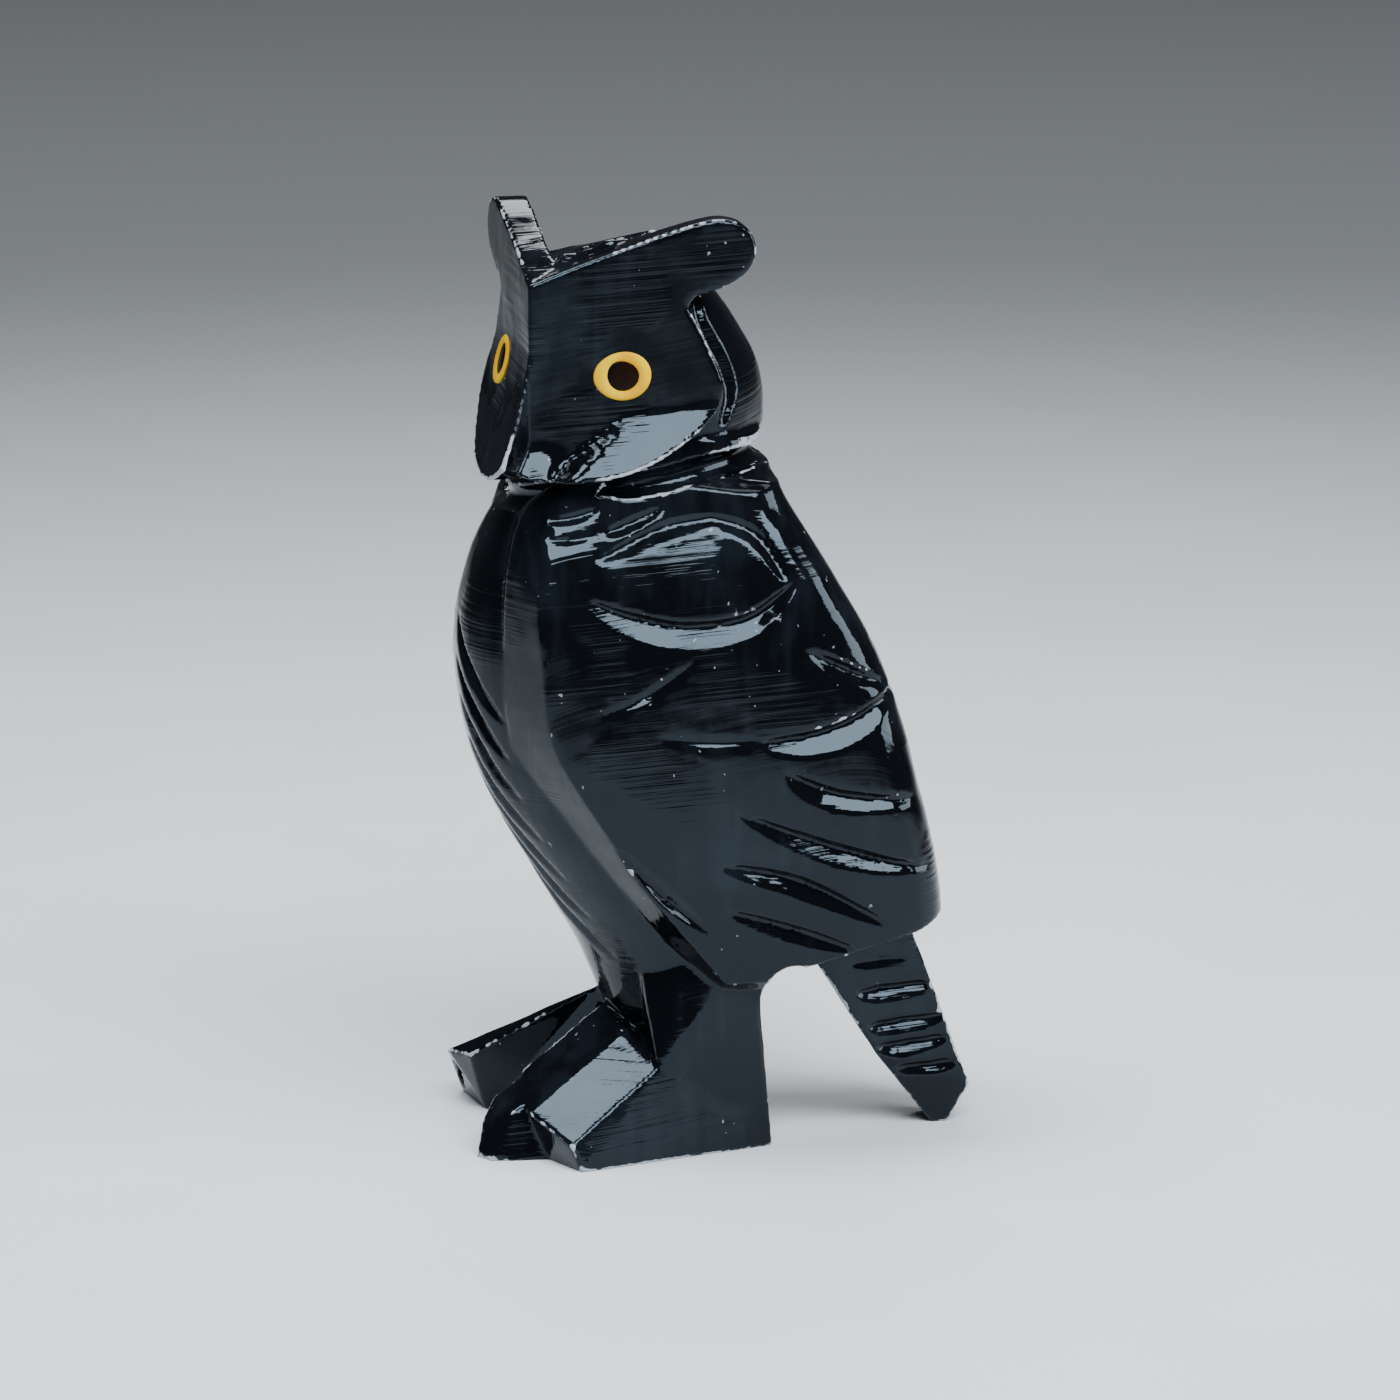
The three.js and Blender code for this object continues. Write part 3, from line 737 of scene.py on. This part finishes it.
# ------------------------------------------------------------------ legs, feet and tail
@dataclass
class Feet:
    """Both legs and feet. The right foot is turned out further than the left."""

    heel: Point2 = (4.8, 3.2)
    heel_inside: Point2 = (0.7, 3.2)
    heel_top: float = 2.6
    insteps: Sequence[Point3] = ((7.0, -3.2, 5.0), (6.5, -1.6, 4.5))
    ankle: Point3 = (4.5, -4.7, 6.4)
    ankle_inside: Point3 = (1.6, -5.4, 7.4)
    outer_toe_sole: Sequence[Point2] = ((8.85, -7.4), (6.2, -8.8), (1.6, -8.8), (0.7, -4.0))
    outer_toe_top: Sequence[Point3] = ((8.75, -8.0, 1.4), (6.2, -9.9, 2.6), (2.4, -9.9, 4.0))
    inner_toe_sole: Sequence[Point2] = ((6.1, -8.0), (6.0, -11.9), (4.9, -12.6), (2.2, -11.6), (1.6, -7.0))
    inner_toe_top: Sequence[Point3] = ((2.8, -11.4, 2.7), (4.4, -12.2, 1.9), (5.5, -10.7, 2.5),
                                       (4.8, -8.4, 3.6), (2.3, -8.0, 5.0))
    right_sole: Sequence[Point2] = ((-8.9, -7.2), (-9.6, -11.2), (-8.6, -11.9), (-4.6, -11.0), (-0.7, -4.0))
    right_top: Sequence[Point3] = ((-8.6, -7.0, 3.0), (-8.2, -12.7, 2.3), (-5.4, -13.0, 3.2),
                                   (-3.4, -12.0, 3.4))
    leg_top: float = 11.0
    leg_back: float = 1.8
    leg_front: float = -4.0
    leg_half: float = 6.2
    leg_corner: Point2 = (1.6, 2.4)
    cleft_ends: Sequence[Point3] = ((-7.9, -12.2, 1.0), (-5.6, -8.6, 4.6))
    cleft_deep: float = 1.1
    cleft_half: float = 1.0
    valley_run: Point2 = (-20.0, -3.5)
    valley_section: Sequence[Point2] = ((-1.8, -1.0), (1.8, -1.0), (0.0, 6.4))

    def block(self, side: Side) -> bpy.types.Object:
        """One leg with its foot."""
        s = side.value
        heel = [(s * self.heel[0], self.heel[1], self.heel_top), *[(s * x, y, z) for x, y, z in self.insteps]]
        ankle = [(s * x, y, z) for x, y, z in (self.ankle, self.ankle_inside)]
        ground = [(s * x, y, 0.0) for x, y in (self.heel, self.heel_inside)]
        across, back = self.leg_corner
        plan = [(0.0, self.leg_front), (0.0, self.leg_back), (self.leg_half, self.leg_back),
                (self.leg_half, self.leg_front + back), (self.leg_half - across, self.leg_front)]
        top = [(s * x, y, self.leg_top) for x, y in plan]
        base = [(0.0, self.heel[1], 0.0), (0.0, self.leg_front, 0.0), (s * self.heel[0], self.heel[1], 0.0)]
        leg = hull(f"leg_{side.name}", [*top, *base, *heel])
        if side is Side.RIGHT:
            sole = [(x, y, 0.0) for x, y in self.right_sole]
            return work(leg, Join.ADD, hull("right_toes", [*ground, *sole, *heel, *ankle, *self.right_top]))
        outer = [(x, y, 0.0) for x, y in self.outer_toe_sole]
        inner = [(x, y, 0.0) for x, y in self.inner_toe_sole]
        work(leg, Join.ADD, hull("outer_toe", [*ground, *outer, *heel, *ankle, *self.outer_toe_top]))
        return work(leg, Join.ADD, hull("inner_toe", [*inner, *self.inner_toe_top]))

    def cleft(self) -> bpy.types.Object:
        """The V that parts the right foot's toes."""
        toe, heel = (Vector(end) for end in self.cleft_ends)
        run = (toe - heel).xy.normalized()
        aside = Vector((run.y, -run.x, 0.0)) * self.cleft_half
        rise = Vector((0.0, 0.0, self.cleft_deep))
        return hull("toe_cleft", [corner for end in (toe, heel) for corner in
                                  (end + rise + aside, end + rise - aside, end - rise)])

    def valley(self) -> bpy.types.Object:
        """The V between the feet, open to the front."""
        return hull("valley", [(x, y, z) for y in self.valley_run for x, z in self.valley_section])


@dataclass
class Tail:
    """A tapering slab that leans back to the ground, with notches across its sides."""

    root_front: Point2 = (3.9, 12.4)
    root_back: Point2 = (10.2, 13.0)
    root_half: float = 3.9
    knee: Point2 = (9.1, 4.2)
    knee_half: float = 2.7
    tip_front: Point2 = (12.3, 0.0)
    tip_back: Point2 = (13.2, 0.0)
    tip_half: float = 1.3
    corner: Point2 = (14.3, 2.2)
    bevel: float = 0.8
    arch_front: float = 3.2
    arch_under: float = -1.0
    arch_top: Sequence[Point2] = ((2.4, 8.4), (2.9, 9.8), (4.1, 10.35), (5.3, 9.8), (6.1, 8.8))
    notches: Sequence[WheelCut] = (
        WheelCut(((7.4, 9.3), (9.0, 9.5), (11.0, 9.5)), 0.25, 0.3, 0.5, 0.6),
        WheelCut(((7.9, 7.7), (9.7, 7.95), (12.6, 8.1)), 0.5, 0.15, 0.85, 0.5),
        WheelCut(((8.5, 5.85), (10.3, 6.05), (13.0, 6.25)), 0.5, 0.15, 0.8, 0.5),
        WheelCut(((9.0, 4.65), (10.8, 4.8), (13.2, 5.05)), 0.5, 0.15, 0.8, 0.5),
        WheelCut(((10.1, 3.4), (11.6, 3.45), (13.7, 3.65)), 0.45, 0.15, 0.75, 0.5),
    )

    def block(self) -> bpy.types.Object:
        """The slab before its notches."""
        ends = ((self.root_front, self.root_half), (self.root_back, self.root_half - self.bevel),
                (self.knee, self.knee_half), (self.tip_front, self.tip_half), (self.tip_back, self.tip_half),
                (self.corner, self.knee_half - self.bevel))
        return hull("tail", [(s * half, y, z) for (y, z), half in ends for s in (1, -1)])

    def cuts(self, slab: bpy.types.Object, side: Side) -> list[bpy.types.Object]:
        """The notches across one side, as the wheels' sweeps."""
        return side_sweeps("notch", self.notches, slab, side, 2.0)

    def arch(self) -> bpy.types.Object:
        """The open space under the body between the legs and the tail."""
        outline = [(self.arch_front, self.arch_under), (self.arch_front, 0.0), *flat_curve(self.arch_top, 4),
                   self.knee, self.tip_front, (self.tip_front[0], self.arch_under)]
        return extruded("arch", [across_body(outline, -FAR), across_body(outline, FAR)])


# ------------------------------------------------------------------ the carving
@dataclass
class Carving:
    """The stone: all of its blocks joined, cut and polished into one solid.

    Attributes:
        grain: how fine the evened mesh is, in mm.
        ripples: the size and the depth of each hand-ground unevenness, in mm.
        triangles: how many triangles it keeps.
    """

    torso: Torso = field(default_factory=Torso)
    wings: Wings = field(default_factory=Wings)
    head: Head = field(default_factory=Head)
    feet: Feet = field(default_factory=Feet)
    tail: Tail = field(default_factory=Tail)
    grain: float = 0.14
    ripples: Sequence[Point2] = ((3.2, 0.10), (1.1, 0.025))
    triangles: int = 180_000

    def rough(self) -> bpy.types.Object:
        """The joined blocks with every wheel's cut taken out of them."""
        stone = self.torso.block()
        breast = copied(stone, "breast")
        skin = self.wings.skin(self.torso)
        wing_face = copied(skin, "wing_face")
        pair = work(self.wings.block(Side.LEFT), Join.ADD, self.wings.block(Side.RIGHT))
        work(stone, Join.ADD, work(skin, Join.KEEP_COMMON, pair))
        work(stone, Join.CUT, extruded("hem", [across_body(self.wings.hem, x) for x in (-FAR, FAR)]))
        slab = self.tail.block()
        tail_face = copied(slab, "tail_face")
        blocks = [self.head.block(), slab, *[self.feet.block(side) for side in Side]]
        work_all(stone, Join.ADD, blocks)
        cutters = [self.tail.arch(), self.feet.valley(), self.feet.cleft(), self.head.neck_cut()]
        for side in Side:
            cutters += [*self.wings.cuts(wing_face, side), *self.torso.down(breast, side)]
            cutters += self.tail.cuts(tail_face, side)
        work_all(stone, Join.CUT, cutters)
        for guide in (breast, wing_face, tail_face):
            bpy.data.objects.remove(guide, do_unlink=True)
        return stone

    def polish(self, stone: bpy.types.Object) -> None:
        """Evens the mesh, rounds its edges a little and keeps as many faces as the shape needs."""
        apply_modifier(stone, "REMESH", mode="VOXEL", voxel_size=self.grain)
        apply_modifier(stone, "SMOOTH", factor=0.5, iterations=3)
        for size, depth in self.ripples:
            ripple = bpy.data.textures.new("hand_ground", "CLOUDS")
            ripple.noise_scale = size
            ripple.noise_depth = 1
            apply_modifier(stone, "DISPLACE", texture=ripple, texture_coords="LOCAL", strength=depth,
                           mid_level=0.5)
            bpy.data.textures.remove(ripple)
        for vert in stone.data.vertices:
            vert.co.z = max(vert.co.z, 0.0)
        count = 2 * len(stone.data.polygons)
        if count > self.triangles:
            apply_modifier(stone, "DECIMATE", decimate_type="COLLAPSE", ratio=self.triangles / count)
        choose(stone)
        bpy.ops.object.shade_smooth()


# ------------------------------------------------------------------ finishes
class Socket:
    """A shader socket that takes part in Python expressions by adding Math nodes."""

    def __init__(self, shader: "Shader", socket: bpy.types.NodeSocket) -> None:
        """Wraps an output socket of a shader's nodes."""
        self.shader = shader
        self.socket = socket

    def _math(self, operation: str, *values: "Socket | float") -> "Socket":
        """Adds one Math node."""
        return self.shader.node("ShaderNodeMath", {"operation": operation}, dict(enumerate(values)))

    def __add__(self, other: "Socket | float") -> "Socket":
        """Adds."""
        return self._math("ADD", self, other)

    def __radd__(self, other: float) -> "Socket":
        """Adds."""
        return self._math("ADD", other, self)

    def __sub__(self, other: "Socket | float") -> "Socket":
        """Subtracts."""
        return self._math("SUBTRACT", self, other)

    def __rsub__(self, other: float) -> "Socket":
        """Subtracts from a number."""
        return self._math("SUBTRACT", other, self)

    def __mul__(self, other: "Socket | float") -> "Socket":
        """Multiplies."""
        return self._math("MULTIPLY", self, other)

    def __rmul__(self, other: float) -> "Socket":
        """Multiplies."""
        return self._math("MULTIPLY", other, self)

    def band(self, low: float, high: float) -> "Socket":
        """Goes smoothly from 0 at the low value to 1 at the high one."""
        return self.shader.node("ShaderNodeMapRange", {"interpolation_type": "SMOOTHSTEP"},
                                {"Value": self, "From Min": low, "From Max": high})


class Shader:
    """The nodes of one material, ending in a Principled shader."""

    def __init__(self, name: str) -> None:
        """Starts a material with its shader and its Object coordinates."""
        self.material = bpy.data.materials.new(name)
        self.material.use_nodes = True
        self.tree = self.material.node_tree
        self.surface = self.tree.nodes["Principled BSDF"]
        self.place = self.node("ShaderNodeTexCoord", {}, {}, "Object")

    def node(self, kind: str, settings: dict, values: dict, output: "str | int" = 0) -> Socket:
        """Adds a node.

        Args:
            kind: the node's type.
            settings: the node's own properties, set first.
            values: its input sockets' values or links, by name or number.
            output: which output is wanted.

        Returns:
            The wanted output.
        """
        made = self.tree.nodes.new(kind)
        for name, value in settings.items():
            setattr(made, name, value)
        for name, value in values.items():
            self.feed(made.inputs[name], value)
        return Socket(self, made.outputs[output])

    def feed(self, target: bpy.types.NodeSocket, value: object) -> None:
        """Links a socket to an input, or sets the input to a plain value."""
        if isinstance(value, Socket):
            self.tree.links.new(value.socket, target)
        else:
            target.default_value = value

    def set(self, **values: object) -> None:
        """Sets or links inputs of the Principled shader, named with underscores for spaces."""
        for name, value in values.items():
            self.feed(self.surface.inputs[name.replace("_", " ")], value)

    def noise(self, scale: float, detail: float = 2.0, stretch: Point3 = (1, 1, 1),
              turn: Point3 = (0, 0, 0)) -> Socket:
        """Noise that keeps its place on the stone.

        Args:
            scale: how many features lie in a metre.
            detail: how many finer layers it has.
            stretch: how much closer the features are along X, Y and Z.
            turn: how the stretched pattern is turned first, in degrees.

        Returns:
            The noise, mostly between 0.3 and 0.7.
        """
        turned = tuple(math.radians(angle) for angle in turn)
        spot = self.node("ShaderNodeMapping", {"vector_type": "TEXTURE"},
                         {"Vector": self.place, "Rotation": turned, "Scale": tuple(1 / k for k in stretch)})
        return self.node("ShaderNodeTexNoise", {}, {"Vector": spot, "Scale": scale, "Detail": detail})

    def attribute(self, name: str) -> Socket:
        """A value painted on the mesh's points."""
        return self.node("ShaderNodeAttribute", {"attribute_name": name}, {}, "Fac")

    def mix(self, share: "Socket | float", first: object, second: object) -> Socket:
        """A colour between two others."""
        return self.node("ShaderNodeMix", {"data_type": "RGBA"}, {0: share, 6: first, 7: second}, 2)

    def bump(self, *layers: tuple[Socket, float]) -> Socket:
        """Layers of relief, each a height pattern with its depth in metres."""
        normal = None
        for height, depth in layers:
            values = {"Height": height, "Distance": depth, "Strength": 1.0}
            if normal is not None:
                values["Normal"] = normal
            normal = self.node("ShaderNodeBump", {}, values)
        return normal


Colour = tuple[float, float, float, float]


@dataclass(frozen=True)
class PolishedStone:
    """Black stone with a wet gloss, fine wheel marks, and pale chips along its sharp edges.

    Its depths are in metres: those of the level and the slanting wheel marks and of the chips.
    """

    black: Colour = (0.0022, 0.0026, 0.0034, 1)
    cloud: Colour = (0.0055, 0.0073, 0.0102, 1)
    chip: Colour = (0.42, 0.45, 0.49, 1)
    dust: Colour = (0.10, 0.10, 0.105, 1)
    gloss: float = 0.04
    shine: float = 0.3
    tint: Colour = (0.68, 0.84, 1.0, 1)
    level_deep: float = 0.00004
    slant_deep: float = 0.000009
    chip_deep: float = 0.00004

    def build(self) -> bpy.types.Material:
        """The material."""
        shader = Shader("polished_black_stone")
        wear = shader.attribute("wear")
        hollow = shader.attribute("hollow")
        clouds = shader.noise(160, 4) + (shader.noise(900, 2, stretch=(1, 1, 0.12)) - 0.5) * 0.6
        clouds = clouds.band(0.45, 0.7)
        crumbs = shader.noise(2600, 3)
        patches = shader.noise(330, 2).band(0.35, 0.6)
        chips = (wear * (0.62 + 0.55 * patches) + (crumbs - 0.5) * 0.6).band(0.69, 0.85)
        specks = (shader.noise(2300, 2) + (shader.noise(300, 1) - 0.5) * 0.25).band(0.75, 0.79)
        dusty = (hollow * shader.noise(1500, 3).band(0.5, 0.75)).band(0.2, 0.9)
        body = shader.mix(clouds, self.black, self.cloud)
        body = shader.mix(dusty * 0.15, body, self.dust)
        body = shader.mix(chips * 0.8 + specks * 0.45, body, self.chip)
        level = shader.noise(520, 3, stretch=(0.12, 0.12, 9), turn=(4, 3, 0))
        slanting = shader.noise(700, 2, stretch=(8, 0.15, 0.15), turn=(0, 24, 6))
        worked = shader.noise(210, 2).band(0.46, 0.6)
        rough = self.gloss + level.band(0.5, 0.8) * worked * 0.12 + hollow * 0.06 + chips * 0.4
        relief = shader.bump((level * worked, self.level_deep), (slanting, self.slant_deep),
                             (chips, -self.chip_deep))
        shader.set(Base_Color=body, Roughness=rough, IOR=1.5, Specular_IOR_Level=self.shine,
                   Specular_Tint=self.tint, Normal=relief)
        return shader.material


@dataclass(frozen=True)
class Enamel:
    """Brushed-on enamel that lies a little unevenly."""

    name: str
    thick: Colour
    thin: Colour
    gloss: float

    def build(self) -> bpy.types.Material:
        """The material."""
        shader = Shader(self.name)
        strokes = shader.noise(900, 2, stretch=(1, 1, 0.4)).band(0.35, 0.7)
        grit = shader.noise(5200, 1)
        shader.set(Base_Color=shader.mix(strokes, self.thin, self.thick),
                   Roughness=self.gloss + grit * 0.08, Specular_IOR_Level=0.06,
                   Normal=shader.bump((strokes, 0.00002), (grit, 0.000005)))
        return shader.material


YELLOW = Enamel("yellow_enamel", (0.80, 0.51, 0.0, 1), (0.68, 0.34, 0.0, 1), 0.5)
BROWN_BLACK = Enamel("brown_black_enamel", (0.006, 0.003, 0.002, 1), (0.011, 0.004, 0.002, 1), 0.22)


# ------------------------------------------------------------------ eyes
@dataclass
class Eye:
    """A ring of paint with a dot in it, brushed on a facet of the mask.

    Attributes:
        side: which facet of the head it is on.
        from_ridge: how far its middle lies from the ridge, in mm.
        height: how high its middle lies.
        wide: the ring's outer half width, with its half height in high.
        pupil: the dot's radius.
        sunk: how far the paint reaches into the stone.
        lip: how far its edge stands out.
        tuck: how far the ring reaches under the dot.
        sway: how far the brush wanders, twice and three times in a turn.
        bead: the ring's section, as shares of its breadth and of its thickness.
    """

    side: Side
    from_ridge: float
    head: Head
    height: float = 41.7
    wide: float = 1.48
    high: float = 1.29
    pupil: float = 0.81
    thick: float = 0.11
    sunk: float = 0.12
    lip: float = 0.01
    tuck: float = 0.02
    sway: Point2 = (0.045, 0.03)
    bead: Sequence[Point2] = ((0.10, 0.5), (0.3, 0.92), (0.55, 1.0), (0.78, 0.88), (0.93, 0.5))

    def spot(self, along: float, up: float, out: float) -> Vector:
        """A place on the eye, from its middle, in the body's frame."""
        a, z = self.from_ridge + along, self.height + up
        local = Vector((a, -self.head.dish_of(self.side).out_at(a, z) - out, z))
        return self.head.place() @ self.head.facet_place(self.side) @ local

    def waver(self, turn: float, phase: float) -> float:
        """How the brush's edge wanders round the eye."""
        twice, thrice = self.sway
        return twice * math.sin(2 * turn + phase) + thrice * math.sin(3 * turn - 2 * phase)

    def ring(self) -> bpy.types.Object:
        """The ring."""
        steps = 72
        phase = 0.8 if self.side is Side.LEFT else 2.3
        bead = [(share, out * self.thick) for share, out in self.bead]
        profile = [(0.0, -self.sunk), (0.0, self.lip), *bead, (1.0, self.lip), (1.0, -self.sunk)]
        rings = []
        for step in range(steps):
            turn = math.tau * step / steps
            c, s = math.cos(turn), math.sin(turn)
            inner = self.pupil * (1 + self.waver(turn, phase + 1.7)) - self.tuck
            ring = []
            for share, out in profile:
                outer = 1 + 0.5 * self.waver(turn, phase)
                a = c * (inner + (self.wide * outer - inner) * share)
                z = s * (inner + (self.high * outer - inner) * share)
                ring.append(self.spot(a, z, out))
            rings.append(ring)
        return closed_loop(f"painted_ring_{self.side.name.lower()}", rings)

    def dot(self) -> bpy.types.Object:
        """The pupil."""
        deselect()
        bpy.ops.mesh.primitive_uv_sphere_add(segments=40, ring_count=20, radius=1.0)
        obj = bpy.context.object
        obj.name = f"painted_pupil_{self.side.name.lower()}"
        for vert in obj.data.vertices:
            x, y, z = vert.co
            turn = math.atan2(y, x)
            reach = self.pupil * (1 + 0.5 * self.waver(turn, 1.1))
            flat = 0.62 * self.thick if z > 0 else 0.5 * self.sunk
            vert.co = self.spot(x * reach, y * reach, self.lip + z * flat)
        with editing(obj):
            face_out()
        return obj


EYES_FROM_RIDGE = {Side.LEFT: 4.85, Side.RIGHT: 6.4}


# ------------------------------------------------------------------ studio
COOL = (0.88, 0.95, 1.0)


@dataclass
class Studio:
    """The floor, the lights and the camera, which all look to the middle of the owl.

    Lengths are in metres and the lens in millimetres. Over the fade's reach the floor's colour is painted
    darker away from the owl: painted shade round a painted pool of light.
    """

    middle: Vector
    azimuth: float = math.radians(82)
    elevation: float = math.radians(12)
    distance: float = 0.4
    lens: float = 194.4
    # painted shade: the distances from the owl where the floor's painted darkening starts and where it is
    # full
    fade: Point2 = (0.03, 0.32)

    def around(self, azimuth: float, elevation: float, distance: float) -> Vector:
        """A place round the owl, by the same angles as the views."""
        level = math.cos(elevation)
        return self.middle + distance * Vector((math.sin(azimuth) * level, -math.cos(azimuth) * level,
                                                math.sin(elevation)))

    def camera(self) -> None:
        """The camera, looking down a little at the owl's left side."""
        deselect()
        bpy.ops.object.camera_add(location=self.around(self.azimuth, self.elevation, self.distance))
        camera = bpy.context.object
        camera.rotation_euler = (self.middle - camera.location).to_track_quat("-Z", "Y").to_euler()
        camera.data.lens = self.lens
        camera.data.clip_start = 0.01
        bpy.context.scene.camera = camera

    def light(self, name: str, azimuth: float, elevation: float, distance: float, size: Point2,
              glow: float, colour: Point3 = (1, 1, 1)) -> None:
        """A soft box that faces the owl.

        Args:
            name: the light's name.
            azimuth: where it stands round the owl, in degrees.
            elevation: how high, in degrees.
            distance: how far away, in metres.
            size: its width and height, in metres.
            glow: how bright its face is.
            colour: its colour.
        """
        deselect()
        place = self.around(math.radians(azimuth), math.radians(elevation), distance)
        bpy.ops.object.light_add(type="AREA", location=place)
        lamp = bpy.context.object
        lamp.name = name
        lamp.rotation_euler = (self.middle - place).to_track_quat("-Z", "Y").to_euler()
        lamp.data.shape = "RECTANGLE"
        lamp.data.size, lamp.data.size_y = size
        lamp.data.energy = glow * math.pi * size[0] * size[1]
        lamp.data.color = colour

    def floor(self) -> None:
        """A plain pale floor with a soft mottle, its colour painted darker further from the owl: painted
        shade round a painted pool of light.
        """
        deselect()
        bpy.ops.mesh.primitive_circle_add(vertices=128, radius=3.0, fill_type="NGON", location=(0, 0, 0))
        floor = bpy.context.object
        floor.name = "floor"
        shader = Shader("pale_floor")
        tone = shader.noise(30, 3).band(0.3, 0.7)
        reach = shader.node("ShaderNodeVectorMath", {"operation": "LENGTH"}, {0: shader.place}, 1)
        paper = shader.mix(tone, (0.74, 0.755, 0.77, 1), (0.78, 0.795, 0.81, 1))
        # painted shade: the floor's colour goes dark away from the owl, a painted falloff of light
        shader.set(Base_Color=shader.mix(reach.band(*self.fade), paper, (0.165, 0.17, 0.175, 1)),
                   Roughness=0.6, Specular_IOR_Level=0.2)
        floor.data.materials.append(shader.material)

    def world(self) -> None:
        """A dim room, so that the stone stays black between its highlights."""
        world = bpy.data.worlds.new("dim_room")
        world.use_nodes = True
        world.node_tree.nodes["Background"].inputs["Color"].default_value = (0.045, 0.050, 0.060, 1)
        bpy.context.scene.world = world

    def build(self) -> None:
        """Everything round the owl."""
        self.camera()
        self.floor()
        self.world()
        self.light("window", 103, 45, 0.55, (0.48, 0.21), 16.0, COOL)
        self.light("overhead", 0, 69, 0.55, (0.26, 0.24), 14.0, COOL)
        self.light("ceiling", 215, 80, 0.9, (0.4, 0.4), 3.0)
        self.light("back", 262, 40, 0.7, (0.3, 0.16), 6.0)
        self.light("nape", 162, 18, 0.5, (0.22, 0.26), 9.0, (0.9, 0.96, 1.0))


# ------------------------------------------------------------------ finishing
@dataclass(frozen=True)
class Bench:
    """Where the owl's own axis stands in the frame, worked out from the stone's box.

    The right toes and the breast reach this far from the axis, in mm, and the middle is the
    height that the views look at.
    """

    toe_reach: float = 9.6
    breast_reach: float = 13.06
    middle: float = 23.2

    def origin(self) -> Vector:
        """The foot of the owl's axis, in metres."""
        low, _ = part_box("stone_body")
        return Vector((low[0] + self.toe_reach * MM, low[1] + self.breast_reach * MM, 0.0))

    def deliver(self, piece: bpy.types.Object, material: bpy.types.Material, slot: Slot, *nodes: str) -> None:
        """Brings a finished piece to metres and to its place, and dresses it.

        Args:
            piece: the piece, in millimetres round the owl's axis.
            material: its finish.
            slot: the record's material slot.
            nodes: the CAD nodes that it stands for.
        """
        piece.data.transform(Matrix.Translation(self.origin()) @ Matrix.Scale(MM, 4))
        piece.data.materials.clear()
        piece.data.materials.append(material)
        choose(piece)
        bpy.ops.object.shade_smooth()
        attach(piece, "root")
        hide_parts(*nodes)
        LOG.info("%s: %d faces, %s", piece.name, len(piece.data.polygons), slot.value)


def paint_edges(obj: bpy.types.Object, blur: int = 3, least: float = 0.45, span: float = 1.7) -> None:
    """Paints how sharply each point stands out or lies sunk, as the values wear and hollow.

    Args:
        obj: the piece.
        blur: how many times the values are spread to their neighbours.
        least: the bend under which nothing is painted.
        span: how much more bend gives the full value.
    """
    mesh = obj.data
    count = len(mesh.vertices)
    places = np.empty(count * 3, dtype=np.float32)
    mesh.vertices.foreach_get("co", places)
    places = places.reshape(-1, 3)
    normals = np.empty(count * 3, dtype=np.float32)
    mesh.vertex_normals.foreach_get("vector", normals)
    normals = normals.reshape(-1, 3)
    pairs = np.empty(len(mesh.edges) * 2, dtype=np.int32)
    mesh.edges.foreach_get("vertices", pairs)
    one, two = pairs.reshape(-1, 2).T
    ties = np.bincount(one, minlength=count) + np.bincount(two, minlength=count)
    step = places[two] - places[one]
    bend = ((normals[two] - normals[one]) * step).sum(1) / np.maximum((step ** 2).sum(1), 1e-9)

    def spread(values_one: np.ndarray, values_two: np.ndarray) -> np.ndarray:
        """The mean over each point's edges."""
        total = np.bincount(one, values_one, count) + np.bincount(two, values_two, count)
        return total / np.maximum(ties, 1)

    curve = spread(bend, bend)
    for _ in range(blur):
        curve = 0.5 * curve + 0.5 * spread(curve[two], curve[one])
    for name, value in (("wear", curve), ("hollow", -curve)):
        layer = mesh.attributes.new(name, "FLOAT", "POINT")
        layer.data.foreach_set("value", np.clip((value - least) / span, 0, 1).astype(np.float32))


def main() -> None:
    """Builds the owl and the studio round it."""
    logging.basicConfig(level=logging.INFO, format="%(name)s: %(message)s")
    bench = Bench()
    carving = Carving()
    Studio(bench.origin() + Vector((0, 0, bench.middle * MM))).build()
    stone = carving.rough()
    carving.polish(stone)
    stone.name = "owl_carving"
    paint_edges(stone)
    bench.deliver(stone, PolishedStone().build(), Slot.STONE, "stone_body")
    yellow, dark = YELLOW.build(), BROWN_BLACK.build()
    for side, from_ridge in EYES_FROM_RIDGE.items():
        eye = Eye(side, from_ridge, carving.head)
        which = side.name.lower()
        bench.deliver(eye.ring(), yellow, Slot.RING, f"eye_ring_{which}")
        bench.deliver(eye.dot(), dark, Slot.PUPIL, f"pupil_{which}")


if __name__ == "__main__":
    main()
